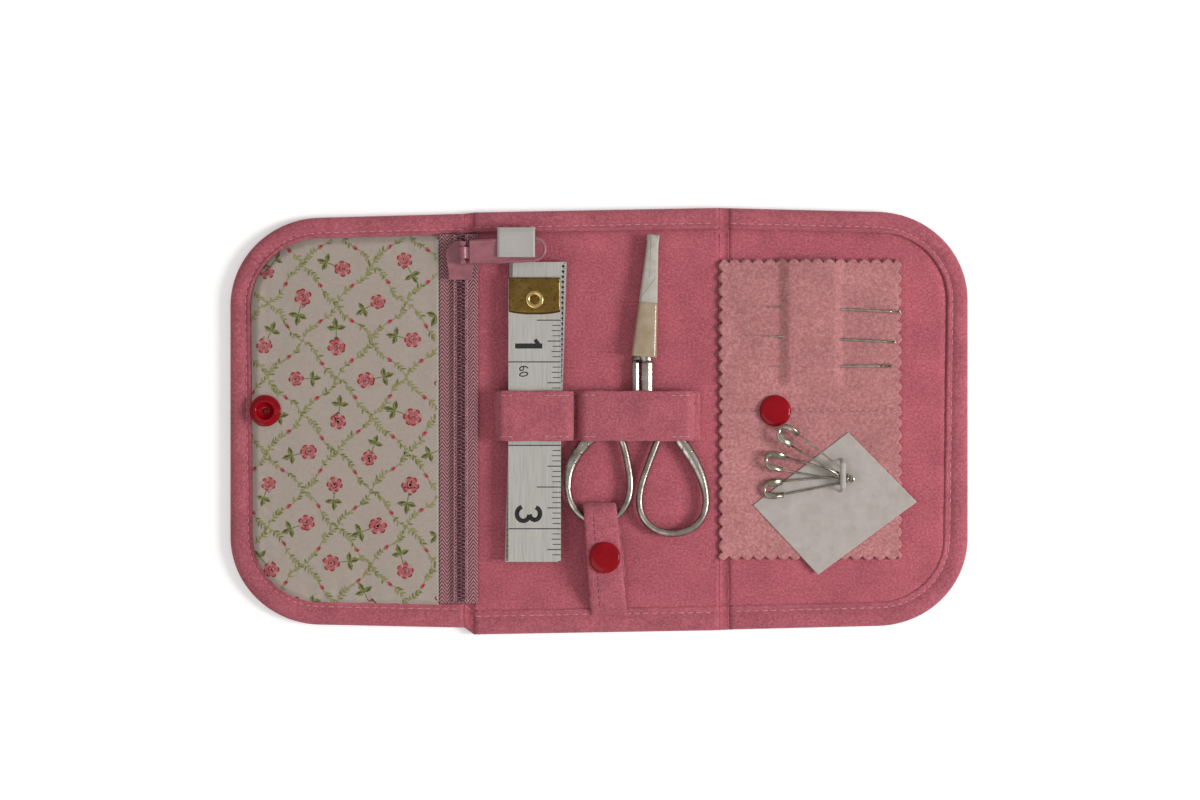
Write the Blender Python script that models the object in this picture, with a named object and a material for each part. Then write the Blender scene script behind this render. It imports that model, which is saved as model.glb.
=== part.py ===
"""Fold-out sewing kit, lying open: three padded cloth panels with their tools in place.

Metres, +Z up. X runs across the three panels and Y runs up them. The origin is the
underside of the middle panel, near its centre. Left, right, top and bottom are as seen
from above with +Y up.
"""

from math import asin, cos, degrees, hypot, pi, radians, sin

import bmesh
import bpy
from mathutils import Vector

MM = 0.001

# Outline of the open kit
OPEN_WIDTH = 226.0 * MM
OPEN_DEPTH = 130.8 * MM
HALF_DEPTH = OPEN_DEPTH / 2
LEFT_EDGE_X = -OPEN_WIDTH / 2
RIGHT_EDGE_X = OPEN_WIDTH / 2
LEFT_HINGE_X = -39.8 * MM
RIGHT_HINGE_X = 38.26 * MM
FOLD_HALF_WIDTH = 1.5 * MM
LEFT_TOP_Y = (HALF_DEPTH - 2.8 * MM, HALF_DEPTH - 1.6 * MM)
LEFT_BOTTOM_Y = (-HALF_DEPTH + 3.2 * MM, -HALF_DEPTH + 2.3 * MM)
MIDDLE_TOP_Y = (HALF_DEPTH - 1.2 * MM, HALF_DEPTH + 0.2 * MM)
MIDDLE_BOTTOM_Y = (-HALF_DEPTH + 0.2 * MM, -HALF_DEPTH + 1.5 * MM)
RIGHT_TOP_Y = (HALF_DEPTH - 1.0 * MM, HALF_DEPTH + 0.1 * MM)
RIGHT_BOTTOM_Y = (-HALF_DEPTH + 2.8 * MM, -HALF_DEPTH + 1.7 * MM)
CORNER_X = 28.0 * MM
CORNER_Y = 27.0 * MM
CORNER_STEPS = 8

# Cloth layers of a panel, from the table up
CLOTH = 0.5 * MM
LAYER_GAP = 0.1 * MM
WADDING = 2.4 * MM
WADDING_BEVEL = 0.6 * MM
BINDING_CLOTH = 0.7 * MM
BINDING_HEIGHT = 3.7 * MM
BINDING_ROUND = 0.6 * MM
BINDING_SIDE = 6.1 * MM
BINDING_TOP = 6.2 * MM
BINDING_BOTTOM = 7.4 * MM
RIM_GAP = 0.35 * MM
RIM_RISE = 1.6 * MM
RIM_STEP = 0.2 * MM

WADDING_Z = CLOTH + LAYER_GAP
LINING_Z = WADDING_Z + WADDING + LAYER_GAP
LINING_TOP = LINING_Z + CLOTH

# Pocket and zip on the left flap
POCKET_CLOTH = 0.7 * MM
POCKET_LIFT = 1.0 * MM
POCKET_RISE = 2.6 * MM
POCKET_STOP_X = -49.0 * MM
ZIP_X = -42.2 * MM
ZIP_TAPE_LEFT = 6.7 * MM
ZIP_TAPE_RIGHT = 5.2 * MM
ZIP_GAP = 0.5 * MM
ZIP_TAPE_THICK = 0.45 * MM
ZIP_LIFT = 0.75 * MM
ZIP_TAPE_Z = LINING_TOP + ZIP_LIFT
ZIP_TOP_Y = 57.4 * MM
ZIP_BOTTOM_Y = -55.4 * MM
COIL_WIDTH = 1.5 * MM
COIL_HEIGHT = 1.25 * MM
SLIDER_Y = (43.4 * MM, 55.4 * MM)
SLIDER_HALF_WIDTH = 4.5 * MM
SLIDER_TAIL_HALF_WIDTH = 3.6 * MM
SLIDER_TAIL = 4.4 * MM
SLIDER_FOOT = 0.3 * MM
SLIDER_FOOT_GAP = 0.15 * MM
SLIDER_PLATE = 0.8 * MM
SLIDER_CLEAR = 0.2 * MM
BRIDGE_Y = (48.0 * MM, 54.9 * MM)
BRIDGE_WIDTH = 1.6 * MM
BRIDGE_POST = 1.1 * MM
BRIDGE_BAR = 1.0 * MM
TAB_AXIS_X = -41.3 * MM
TAB_AXIS_Z = 9.45 * MM
TAB_EYE_OUTER = 1.25 * MM
TAB_EYE_INNER = 0.82 * MM
TAB_EYE_WIDTH = 3.4 * MM
TAB_LENGTH = 25.4 * MM
TAB_WIDTH = 7.6 * MM
TAB_TIP_RISE = 1.2 * MM
TAB_THICK = 0.7 * MM
TAB_RIM = 1.5 * MM
TAB_WINDOW = 9.4 * MM
TAB_NECK_GAP = 1.9 * MM

# Snap fasteners
SNAP_Y = 3.4 * MM
SNAP_RADIUS = 4.8 * MM
SNAP_CAP = 1.2 * MM
CAP_SHOULDER_SHARE = 0.9
CAP_DOME_SHARE = 0.6
SNAP_FLANGE = 0.6 * MM
SNAP_POST_RADIUS = 0.9 * MM
SNAP_HOLE_RADIUS = 1.15 * MM
STUD_RADIUS = 2.2 * MM
STUD_HEIGHT = 1.6 * MM
SOCKET_BORE = 2.6 * MM
SOCKET_RING = 3.6 * MM
SOCKET_HEIGHT = 1.6 * MM
SNAP_GAP = 0.15 * MM
BACK_CAP_RADIUS = 3.6 * MM
STUD_DIMPLE_MARGIN = 0.9 * MM
STUD_DIMPLE_SLOPE = 2.2 * MM
CAP_DIMPLE_MARGIN = 0.3 * MM
CAP_DIMPLE_SLOPE = 0.8 * MM
RIGHT_SNAP_X = 53.8 * MM

# Folding
RIGHT_HINGE_Z = 9.4 * MM
LEFT_HINGE_Z = 14.95 * MM
SNAP_SEAT = 1.0 * MM

# Tape measure under the left bay of the strap
TAPE_X = -19.6 * MM
TAPE_WIDTH = 16.0 * MM
TAPE_TOP_Y = 48.9 * MM
TAPE_BOTTOM_Y = -42.5 * MM
TAPE_THICK = 0.14 * MM
TAPE_PITCH = 0.25 * MM
TAPE_LEAVES = 15
TAPE_FAN_TOP = 1.8 * MM
TAPE_FAN_BOTTOM = 1.2 * MM
TAPE_Z = LINING_TOP + 0.25 * MM
PLATE_LENGTH = 11.3 * MM
PLATE_WIDTH = 15.6 * MM
PLATE_THICK = 0.2 * MM
PLATE_TOP_Y = 44.0 * MM
PLATE_GAP = 0.06 * MM
EYELET_OUTER = 2.7 * MM
EYELET_INNER = 1.5 * MM
EYELET_WALL = 0.3 * MM
EYELET_RIM = 0.35 * MM
EYELET_DROP = 6.7 * MM

# Tool strap
STRAP_Y = (-5.8 * MM, 9.5 * MM)
STRAP_CLOTH = 0.6 * MM
STRAP_LEFT_SEAM_X = -31.2 * MM
STRAP_MIDDLE_SEAM_X = -7.6 * MM
STRAP_RIGHT_SEAM_X = 28.6 * MM
STRAP_SEAM = 0.9 * MM
STRAP_TAIL = 2.4 * MM
STRAP_GAP = 0.15 * MM
STRAP_SHOULDER = 1.4 * MM

# Embroidery scissors
SCISSOR_Z = 6.0 * MM
PIVOT = (13.6 * MM, 23.2 * MM)
BLADE_TIP = (16.4 * MM, 56.0 * MM)
BLADE_THICK = 1.15 * MM
BLADE_TIP_WIDTH = 0.8 * MM
BLADE_BASE_WIDTH = 4.6 * MM
BLADE_GAP = 0.1 * MM
PLATE_STEP = 0.03 * MM
DISC_RADIUS = 2.6 * MM
SCREW_RADIUS = 0.9 * MM
SCREW_HOLE = 1.05 * MM
SCREW_HEAD_RADIUS = 1.6 * MM
SCREW_HEAD = 0.5 * MM
SHANK_TOP_Y = 18.4 * MM
CHEEK_LAP = 0.4 * MM
SHANK_LOW_Y = 8.0 * MM
LEFT_SHANK_X = 11.2 * MM
RIGHT_SHANK_X = 14.7 * MM
LEFT_SHANK_RADIUS = 1.2 * MM
RIGHT_SHANK_RADIUS = 1.85 * MM
LEFT_SHANK_HEIGHT = 1.02 * MM
RIGHT_SHANK_HEIGHT = 1.3 * MM
WIRE_RADIUS = 1.1 * MM
SHOULDER_RADIUS = 1.75 * MM
LEFT_RING = (0.0 * MM, -16.4 * MM, 9.4 * MM, 14.0 * MM)
RIGHT_RING = (22.5 * MM, -17.9 * MM, 9.1 * MM, 16.1 * MM)
LEFT_RING_SKEW = 3.2 * MM
RIGHT_RING_SKEW = -2.0 * MM
LEFT_PINCH_SHARE = 0.2
RIGHT_PINCH_SHARE = 0.55
SHOULDER_START_SHARE = 0.3
SHOULDER_SWELL_SHARE = 1.4
CHEEK_SHARE = 0.8
CHEEK_WIDE_SHARE = 0.9
APEX_SHARE = 1.1
HEAD_TAPER_SHARE = 0.8
RING_STEPS = 32

# Paper sheath on the blades
SHEATH_BASE = (13.7 * MM, 19.9 * MM)
SHEATH_TIP = (16.6 * MM, 57.1 * MM)
SHEATH_BASE_WIDTH = 7.8 * MM
SHEATH_TIP_WIDTH = 3.6 * MM
SHEATH_BASE_HEIGHT = 4.4 * MM
SHEATH_TIP_HEIGHT = 3.5 * MM
SHEATH_BASE_Z = 6.15 * MM
SHEATH_WALL = 0.28 * MM
SHEATH_SIDES = 12
SHEATH_SQUARE_SHARE = 0.6

# Scissor retainer
RETAINER_CLOTH = 0.6 * MM
RETAINER_TOP_X = 0.2 * MM
RETAINER_BASE_X = 3.2 * MM
RETAINER_TOP_WIDTH = 10.1 * MM
RETAINER_BASE_WIDTH = 11.3 * MM
RETAINER_TOP_Y = -24.7 * MM
RETAINER_SNAP_Y = -41.2 * MM
RETAINER_BACK_END = 6.2 * MM
RETAINER_WIRE_GAP = 0.35 * MM

# Felt pages
FELT = 1.0 * MM
FELT_Z = LINING_TOP + 0.3 * MM
FELT_LEFT_X = 36.5 * MM
FELT_RIGHT_X = 92.6 * MM
FELT_TOP_Y = 49.8 * MM
FELT_BOTTOM_Y = -42.2 * MM
NEEDLE_HINGE_Y = 9.2 * MM
PIN_HINGE_Y = 1.2 * MM
PAGE_GAP = 0.3 * MM
PINK_PITCH = 4.1 * MM
PINK_DEPTH = 1.4 * MM
HUMP_X = (54.8 * MM, 75.4 * MM)
HUMP_RISE = 2.0 * MM
HUMP_SLOPE = 3.0 * MM
NEEDLE_RADIUS = 0.4 * MM
NEEDLE_POINT = 0.08 * MM
NEEDLE_SEAT = 0.06 * MM
NEEDLE_HOLE = 0.7 * MM
NEEDLE_TAPER_SHARE = 0.35
NEEDLE_FLAT_SHARE = 0.5
EYE_TIP_SHARE = 0.6
EYE_LENGTH = 3.0 * MM
EYE_HALF_WIDTH = 0.55 * MM
EYE_SLOT = 1.6 * MM
EYE_SLOT_WIDTH = 0.36 * MM
NEEDLE_ENDS = (
    ((47.0 * MM, 35.4 * MM), (92.3 * MM, 33.6 * MM)),
    ((44.6 * MM, 26.6 * MM), (90.7 * MM, 24.4 * MM)),
    ((50.4 * MM, 16.8 * MM), (89.8 * MM, 17.1 * MM)),
)

# Safety pins on their paper
PAPER = 0.15 * MM
PAPER_GAP = 0.1 * MM
PAPER_CORNERS = (
    (76.1 * MM, -3.1 * MM),
    (97.1 * MM, -24.4 * MM),
    (66.9 * MM, -46.7 * MM),
    (47.0 * MM, -25.4 * MM),
)
PAPER_BAND_X = 74.3 * MM
PAPER_BAND_WIDTH = 1.8 * MM
PAPER_BAND_Y = (-21.6 * MM, -11.0 * MM)
BAND_THIN_SHARE = 0.9
COIL_CENTRE = (76.6 * MM, -17.4 * MM)
PIN_WIRE_RADIUS = 0.35 * MM
PIN_LEVEL = 1.0 * MM
PIN_FIRST_GAP = 0.55 * MM
PIN_COIL_RADIUS = 1.3 * MM
PIN_COIL_HOLE = 0.5 * MM
PIN_LENGTH = 27.0 * MM
PIN_CAP_LENGTH = 6.4 * MM
PIN_CAP_WIDTH = 6.2 * MM
PIN_CAP_THICK = 1.2 * MM
PIN_ARM_SPREAD = 4.6 * MM
PIN_ARM_GAP = 0.1 * MM
PIN_FLAT_SHARE = 0.9
PIN_POINT_SHARE = 0.6
PIN_REACH_SHARE = 0.45
PIN_LANE_SHARE = 1.1
PIN_ANGLES = (radians(145.0), radians(166.5), radians(187.5))
PIN_ARM_SIDES = (-1, 1, 1)

# Woven label
LABEL_X = (-30.9 * MM, -19.2 * MM)
LABEL_TOP_Y = 59.0 * MM
LABEL_END_Y = 50.1 * MM
LABEL_THICK = 0.2 * MM
LABEL_GAP = 0.25 * MM

# Cutters reach this far past what they cut, and slivers shorter than the weld are closed
OVERRUN = 1.0 * MM
WELD = 0.003 * MM
UP = Vector((0, 0, 1))


def clear_scene():
    """Start from an empty scene."""
    for item in list(bpy.data.objects):
        bpy.data.objects.remove(item, do_unlink=True)


def make_material(name, colour, roughness, metallic=0.0):
    """A plain Principled material."""
    made = bpy.data.materials.new(name)
    made.use_nodes = True
    shader = made.node_tree.nodes["Principled BSDF"]
    shader.inputs["Base Color"].default_value = (*colour, 1)
    shader.inputs["Roughness"].default_value = roughness
    shader.inputs["Metallic"].default_value = metallic
    made.diffuse_color = (*colour, 1)
    return made


def make_pivot(name, point, parent=None):
    """An empty on a joint's axis, under the pivot that carries it."""
    empty = bpy.data.objects.new(name, None)
    bpy.context.scene.collection.objects.link(empty)
    empty["place"] = [float(value) for value in point]
    here = Vector(point)
    if parent:
        empty.parent = parent
        here = here - Vector(parent["place"])
    empty.location = here
    return empty


def add_node(name, bm, material, pivot):
    """Turn a bmesh in world coordinates into an object that hangs under a pivot."""
    bmesh.ops.recalc_face_normals(bm, faces=bm.faces)
    bmesh.ops.translate(bm, verts=bm.verts, vec=-Vector(pivot["place"]))
    mesh = bpy.data.meshes.new(name)
    bm.to_mesh(mesh)
    bm.free()
    mesh.materials.append(material)
    node = bpy.data.objects.new(name, mesh)
    bpy.context.scene.collection.objects.link(node)
    node.parent = pivot
    return node


def combine(node, bm, operation):
    """Join a bmesh to a node, or cut it out, and keep the result as its mesh."""
    other = add_node(node.name + "_tool", bm, node.data.materials[0], node.parent)
    step = node.modifiers.new("Boolean", "BOOLEAN")
    step.operation = operation
    step.solver = "EXACT"
    step.object = other
    bpy.context.view_layer.update()
    evaluated = node.evaluated_get(bpy.context.evaluated_depsgraph_get())
    result = bpy.data.meshes.new_from_object(evaluated)
    node.modifiers.remove(step)
    clean = bmesh.new()
    clean.from_mesh(result)
    bmesh.ops.remove_doubles(clean, verts=clean.verts, dist=WELD)
    bmesh.ops.dissolve_degenerate(clean, edges=clean.edges, dist=WELD)
    clean.to_mesh(result)
    clean.free()
    old = node.data
    node.data = result
    bpy.data.meshes.remove(old)
    bpy.data.objects.remove(other, do_unlink=True)


def cut(node, *bodies):
    """Cut each bmesh out of a node."""
    for bm in bodies:
        combine(node, bm, "DIFFERENCE")


def join(node, *bodies):
    """Fuse each bmesh to a node that is one piece with it."""
    for bm in bodies:
        combine(node, bm, "UNION")


def skin(rows, closed_profile, closed_path=False):
    """Faces over rows of points. A row follows the path, one row for each profile point."""
    bm = bmesh.new()
    verts = [[bm.verts.new(point) for point in row] for row in rows]
    count = len(rows)
    length = len(rows[0])
    for first in range(count if closed_profile else count - 1):
        second = (first + 1) % count
        for start in range(length if closed_path else length - 1):
            end = (start + 1) % length
            bm.faces.new((verts[first][start], verts[first][end], verts[second][end], verts[second][start]))
    if closed_profile and not closed_path:
        bm.faces.new([row[0] for row in verts])
        bm.faces.new([row[-1] for row in reversed(verts)])
    if not closed_profile:
        bm.faces.new(verts[0])
        bm.faces.new(list(reversed(verts[-1])))
    if not closed_profile and not closed_path:
        bm.faces.new([row[0] for row in verts] + [row[-1] for row in reversed(verts)])
    return bm


def loft(rings):
    """A closed body through rings of points, capped at both ends."""
    return skin(rings, closed_profile=False, closed_path=True)


def prism(outline, low, high):
    """An outline in XY raised from one height to another."""
    return loft([[(x, y, z) for x, y in outline] for z in (low, high)])


def block(low, high):
    """A box between two corners."""
    outline = ((low[0], low[1]), (high[0], low[1]), (high[0], high[1]), (low[0], high[1]))
    return prism(outline, low[2], high[2])


def circle(centre, radius, steps=24):
    """Points round a circle in XY."""
    return [
        (centre[0] + radius * cos(2 * pi * step / steps), centre[1] + radius * sin(2 * pi * step / steps))
        for step in range(steps)
    ]


def turned(centre, profile, steps=24):
    """A closed profile of radius and height, turned about an upright axis."""
    rows = []
    for radius, z in profile:
        rows.append([(x, y, z) for x, y in circle(centre, radius, steps)])
    return skin(rows, closed_profile=True, closed_path=True)


def disc(centre, levels, steps=24):
    """A solid round body through levels of radius and height."""
    return loft([[(x, y, z) for x, y in circle(centre, radius, steps)] for radius, z in levels])


def tube(path, half_widths, half_height, sides=8, closed=False):
    """A bar along a path, level across, with its own half width at each point."""
    points = [Vector(point) for point in path]
    count = len(points)
    rings = []
    for index, point in enumerate(points):
        before = points[index - 1] if closed or index else point
        after = points[(index + 1) % count] if closed or index < count - 1 else point
        across = (after - before).cross(UP).normalized()
        lift = across.cross((after - before).normalized())
        ring = []
        for side in range(sides):
            angle = 2 * pi * side / sides
            ring.append(point + across * half_widths[index] * cos(angle) + lift * half_height * sin(angle))
        rings.append(ring)
    if closed:
        return skin(rings, closed_profile=True, closed_path=True)
    return loft(rings)


def strip(centre_line, thick, spans):
    """A band of cloth along a line of two coordinates. spans gives its two edges at each point."""
    points = [Vector(point) for point in centre_line]
    outer = []
    inner = []
    for index, point in enumerate(points):
        before = points[max(index - 1, 0)]
        after = points[min(index + 1, len(points) - 1)]
        along_in = (point - before).normalized() if index else (after - point).normalized()
        along_out = (after - point).normalized() if index < len(points) - 1 else along_in
        normal_in = Vector((-along_in.y, along_in.x))
        normal = (normal_in + Vector((-along_out.y, along_out.x))).normalized()
        reach = thick / 2 / max(normal.dot(normal_in), 0.5)
        outer.append((point + normal * reach, spans[index]))
        inner.append((point - normal * reach, spans[index]))
    return outer + inner[::-1]


def strip_along_x(centre_line, thick, low_y, high_y):
    """A band whose line is given in X and Z, between two Y edges."""
    loop = strip(centre_line, thick, [(low_y, high_y)] * len(centre_line))
    return skin([[(p.x, low, p.y), (p.x, high, p.y)] for p, (low, high) in loop], closed_profile=True)


def strip_along_y(centre_line, thick, spans):
    """A band whose line is given in Y and Z, between two X edges at each point."""
    loop = strip(centre_line, thick, spans)
    return skin([[(low, p.x, p.y), (high, p.x, p.y)] for p, (low, high) in loop], closed_profile=True)


def flap_outline(side, edge, share, stop_x=None):
    """The bound edge of a flap, from its fold at the top round to its fold at the bottom.

    edge is a distance in from the outline, and share adds that part of the binding's width.
    """
    outer_x, hinge_x = (LEFT_EDGE_X, LEFT_HINGE_X) if side < 0 else (RIGHT_EDGE_X, RIGHT_HINGE_X)
    top, bottom = (LEFT_TOP_Y, LEFT_BOTTOM_Y) if side < 0 else (RIGHT_TOP_Y, RIGHT_BOTTOM_Y)
    fold_x = hinge_x + side * FOLD_HALF_WIDTH
    in_side = edge + share * BINDING_SIDE
    in_top = edge + share * BINDING_TOP
    in_bottom = edge + share * BINDING_BOTTOM
    centre_x = outer_x - side * CORNER_X
    end_x = fold_x if stop_x is None else stop_x
    along_share = (end_x - centre_x) / (fold_x - centre_x)
    points = [(end_x, top[0] + (top[1] - top[0]) * along_share - in_top)]
    for step in range(CORNER_STEPS + 1):
        angle = pi / 2 * (1 - step / CORNER_STEPS)
        x = centre_x + side * (CORNER_X - in_side) * cos(angle)
        points.append((x, top[0] - CORNER_Y + (CORNER_Y - in_top) * sin(angle)))
    for step in range(CORNER_STEPS + 1):
        angle = pi / 2 * step / CORNER_STEPS
        x = centre_x + side * (CORNER_X - in_side) * cos(angle)
        points.append((x, bottom[0] + CORNER_Y - (CORNER_Y - in_bottom) * sin(angle)))
    points.append((end_x, bottom[0] + (bottom[1] - bottom[0]) * along_share + in_bottom))
    return points


def middle_edge(at_top, edge, share):
    """The bound top or bottom edge of the middle panel, from fold to fold."""
    heights = MIDDLE_TOP_Y if at_top else MIDDLE_BOTTOM_Y
    inward = -(edge + share * BINDING_TOP) if at_top else edge + share * BINDING_BOTTOM
    ends = (LEFT_HINGE_X + FOLD_HALF_WIDTH, RIGHT_HINGE_X - FOLD_HALF_WIDTH)
    return [(x, y + inward) for x, y in zip(ends, heights)]


def raised(points, z):
    """Give an outline a height."""
    return [(x, y, z) for x, y in points]


def flap_layer(side, levels, stop_x=None):
    """A cloth layer of a flap from levels of edge, share and height, bottom to top."""
    rows = [raised(flap_outline(side, edge, share, stop_x), z) for edge, share, z in levels]
    return skin(rows, closed_profile=False)


def middle_layer(levels):
    """A cloth layer of the middle panel, from the same levels."""
    rows = [raised(middle_edge(True, edge, share), z) for edge, share, z in levels]
    rows += [raised(middle_edge(False, edge, share), z) for edge, share, z in reversed(levels)]
    return skin(rows, closed_profile=True)


def cloth_levels(low, rim_low, rise, cloth):
    """Levels of a cloth whose rim is gripped by the binding and whose field lies at low."""
    grip = BINDING_CLOTH + RIM_GAP
    return (
        (RIM_GAP + rise, 1, low),
        (RIM_GAP, 1, rim_low),
        (grip, 0, rim_low),
        (grip, 0, rim_low + cloth),
        (RIM_GAP, 1, rim_low + cloth),
        (RIM_GAP + rise, 1, low + cloth),
    )


RIM_COVER_Z = BINDING_CLOTH + LAYER_GAP
RIM_LINING_Z = RIM_COVER_Z + CLOTH + RIM_STEP
RIM_POCKET_Z = RIM_LINING_Z + CLOTH + RIM_STEP
POCKET_Z = LINING_TOP + POCKET_LIFT
POCKET_TOP = POCKET_Z + POCKET_CLOTH

WADDING_EDGE = RIM_GAP + RIM_RISE + LAYER_GAP
COVER_LEVELS = cloth_levels(0, RIM_COVER_Z, RIM_RISE, CLOTH)
LINING_LEVELS = cloth_levels(LINING_Z, RIM_LINING_Z, RIM_RISE, CLOTH)
WADDING_LEVELS = (
    (WADDING_EDGE + WADDING_BEVEL, 1, WADDING_Z),
    (WADDING_EDGE + WADDING_BEVEL, 1, WADDING_Z + WADDING),
)
BINDING_LOOP = (
    (0, 1, 0),
    (BINDING_ROUND, 0, 0),
    (0, 0, BINDING_ROUND),
    (0, 0, BINDING_HEIGHT - BINDING_ROUND),
    (BINDING_ROUND, 0, BINDING_HEIGHT),
    (0, 1, BINDING_HEIGHT),
    (0, 1, BINDING_HEIGHT - BINDING_CLOTH),
    (BINDING_CLOTH, 0, BINDING_HEIGHT - BINDING_CLOTH),
    (BINDING_CLOTH, 0, BINDING_CLOTH),
    (0, 1, BINDING_CLOTH),
)

STUD_DIMPLE = STUD_HEIGHT + SNAP_FLANGE + SNAP_GAP * 2
CAP_DIMPLE = SNAP_CAP + SNAP_GAP * 2
SOCKET_FACE = POCKET_TOP + SNAP_GAP + SOCKET_HEIGHT


def left_fold_angle():
    """The fold at which the left flap's socket sits down on the right flap's stud."""
    stud_x = 2 * RIGHT_HINGE_X - RIGHT_SNAP_X
    reach = stud_x - LEFT_HINGE_X
    rise = LEFT_HINGE_Z - SOCKET_FACE
    seat = 2 * RIGHT_HINGE_Z - STUD_HEIGHT - SNAP_GAP + SNAP_SEAT
    drop = LEFT_HINGE_Z + rise - seat
    return pi + asin(drop / hypot(reach, rise))


def left_snap_x():
    """Where the socket lies on the open left flap so that it meets the stud."""
    over = left_fold_angle() - pi
    reach = 2 * RIGHT_HINGE_X - RIGHT_SNAP_X - LEFT_HINGE_X
    return LEFT_HINGE_X - (reach - (LEFT_HINGE_Z - SOCKET_FACE) * sin(over)) / cos(over)


def make_panel(prefix, side, materials, pivot, dimple=None):
    """Outer cover, wadding and lining of one panel. side is 0 for the middle."""
    build = middle_layer if side == 0 else lambda levels: flap_layer(side, levels)
    cover = add_node(prefix + "_outer_cover", build(COVER_LEVELS), materials["suede"], pivot)
    wadding = add_node(prefix + "_wadding", build(WADDING_LEVELS), materials["wadding"], pivot)
    lining = add_node(prefix + "_lining", build(LINING_LEVELS), materials["lining"], pivot)
    if dimple:
        centre, height, floor, slope = dimple
        rim = floor + slope
        cut(cover, disc(centre, ((rim, -OVERRUN), (rim, OVERRUN))))
        grip = CLOTH / 4
        join(cover, turned(centre, (
            (SNAP_HOLE_RADIUS, height),
            (floor, height),
            (rim + grip, grip),
            (rim + grip, CLOTH - grip),
            (rim - grip, CLOTH),
            (floor - grip, height + CLOTH),
            (SNAP_HOLE_RADIUS, height + CLOTH),
        )))
        room = rim + LAYER_GAP + grip
        cut(wadding, disc(centre, ((room, -OVERRUN), (room, BINDING_HEIGHT + OVERRUN))))
        cut(lining, disc(centre, ((SNAP_HOLE_RADIUS, 0), (SNAP_HOLE_RADIUS, BINDING_HEIGHT + OVERRUN))))


def make_bindings(materials, middle, left, right):
    """The folded strips that grip the layers along the free edges."""
    for prefix, side, pivot in (("left_flap", -1, left), ("right_flap", 1, right)):
        rows = [raised(flap_outline(side, edge, share), z) for edge, share, z in BINDING_LOOP]
        add_node(prefix + "_binding", skin(rows, closed_profile=True), materials["binding"], pivot)
    for name, at_top in (("middle_binding_top", True), ("middle_binding_bottom", False)):
        rows = [raised(middle_edge(at_top, edge, share), z) for edge, share, z in BINDING_LOOP]
        add_node(name, skin(rows, closed_profile=True), materials["binding"], middle)


def make_folds(materials, middle):
    """The cloth between two panels, where the case bends."""
    half = FOLD_HALF_WIDTH - LAYER_GAP
    low = RIM_STEP
    high = LINING_TOP - RIM_STEP
    for name, hinge_x, top_y, bottom_y in (
        ("left_fold_cloth", LEFT_HINGE_X, LEFT_TOP_Y[1], LEFT_BOTTOM_Y[1]),
        ("right_fold_cloth", RIGHT_HINGE_X, RIGHT_TOP_Y[1], RIGHT_BOTTOM_Y[1]),
    ):
        inset = BINDING_ROUND
        body = block((hinge_x - half, bottom_y + inset, low), (hinge_x + half, top_y - inset, high))
        add_node(name, body, materials["suede"], middle)


def make_pocket(materials, left):
    """The cotton pocket front, sewn into the binding on three sides and to the zip on the fourth."""
    levels = (
        (RIM_GAP + POCKET_RISE, 1, POCKET_Z),
        (RIM_GAP, 1, RIM_POCKET_Z),
        (BINDING_CLOTH + RIM_GAP, 0, RIM_POCKET_Z),
        (BINDING_CLOTH + RIM_GAP, 0, RIM_POCKET_Z + CLOTH),
        (RIM_GAP, 1, RIM_POCKET_Z + CLOTH),
        (RIM_GAP + POCKET_RISE, 1, POCKET_TOP),
    )
    front = add_node("pocket_front", flap_layer(-1, levels, POCKET_STOP_X), materials["cotton"], left)
    centre = (left_snap_x(), SNAP_Y)
    cut(front, disc(centre, ((SNAP_HOLE_RADIUS, 0), (SNAP_HOLE_RADIUS, POCKET_TOP + OVERRUN))))


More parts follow.
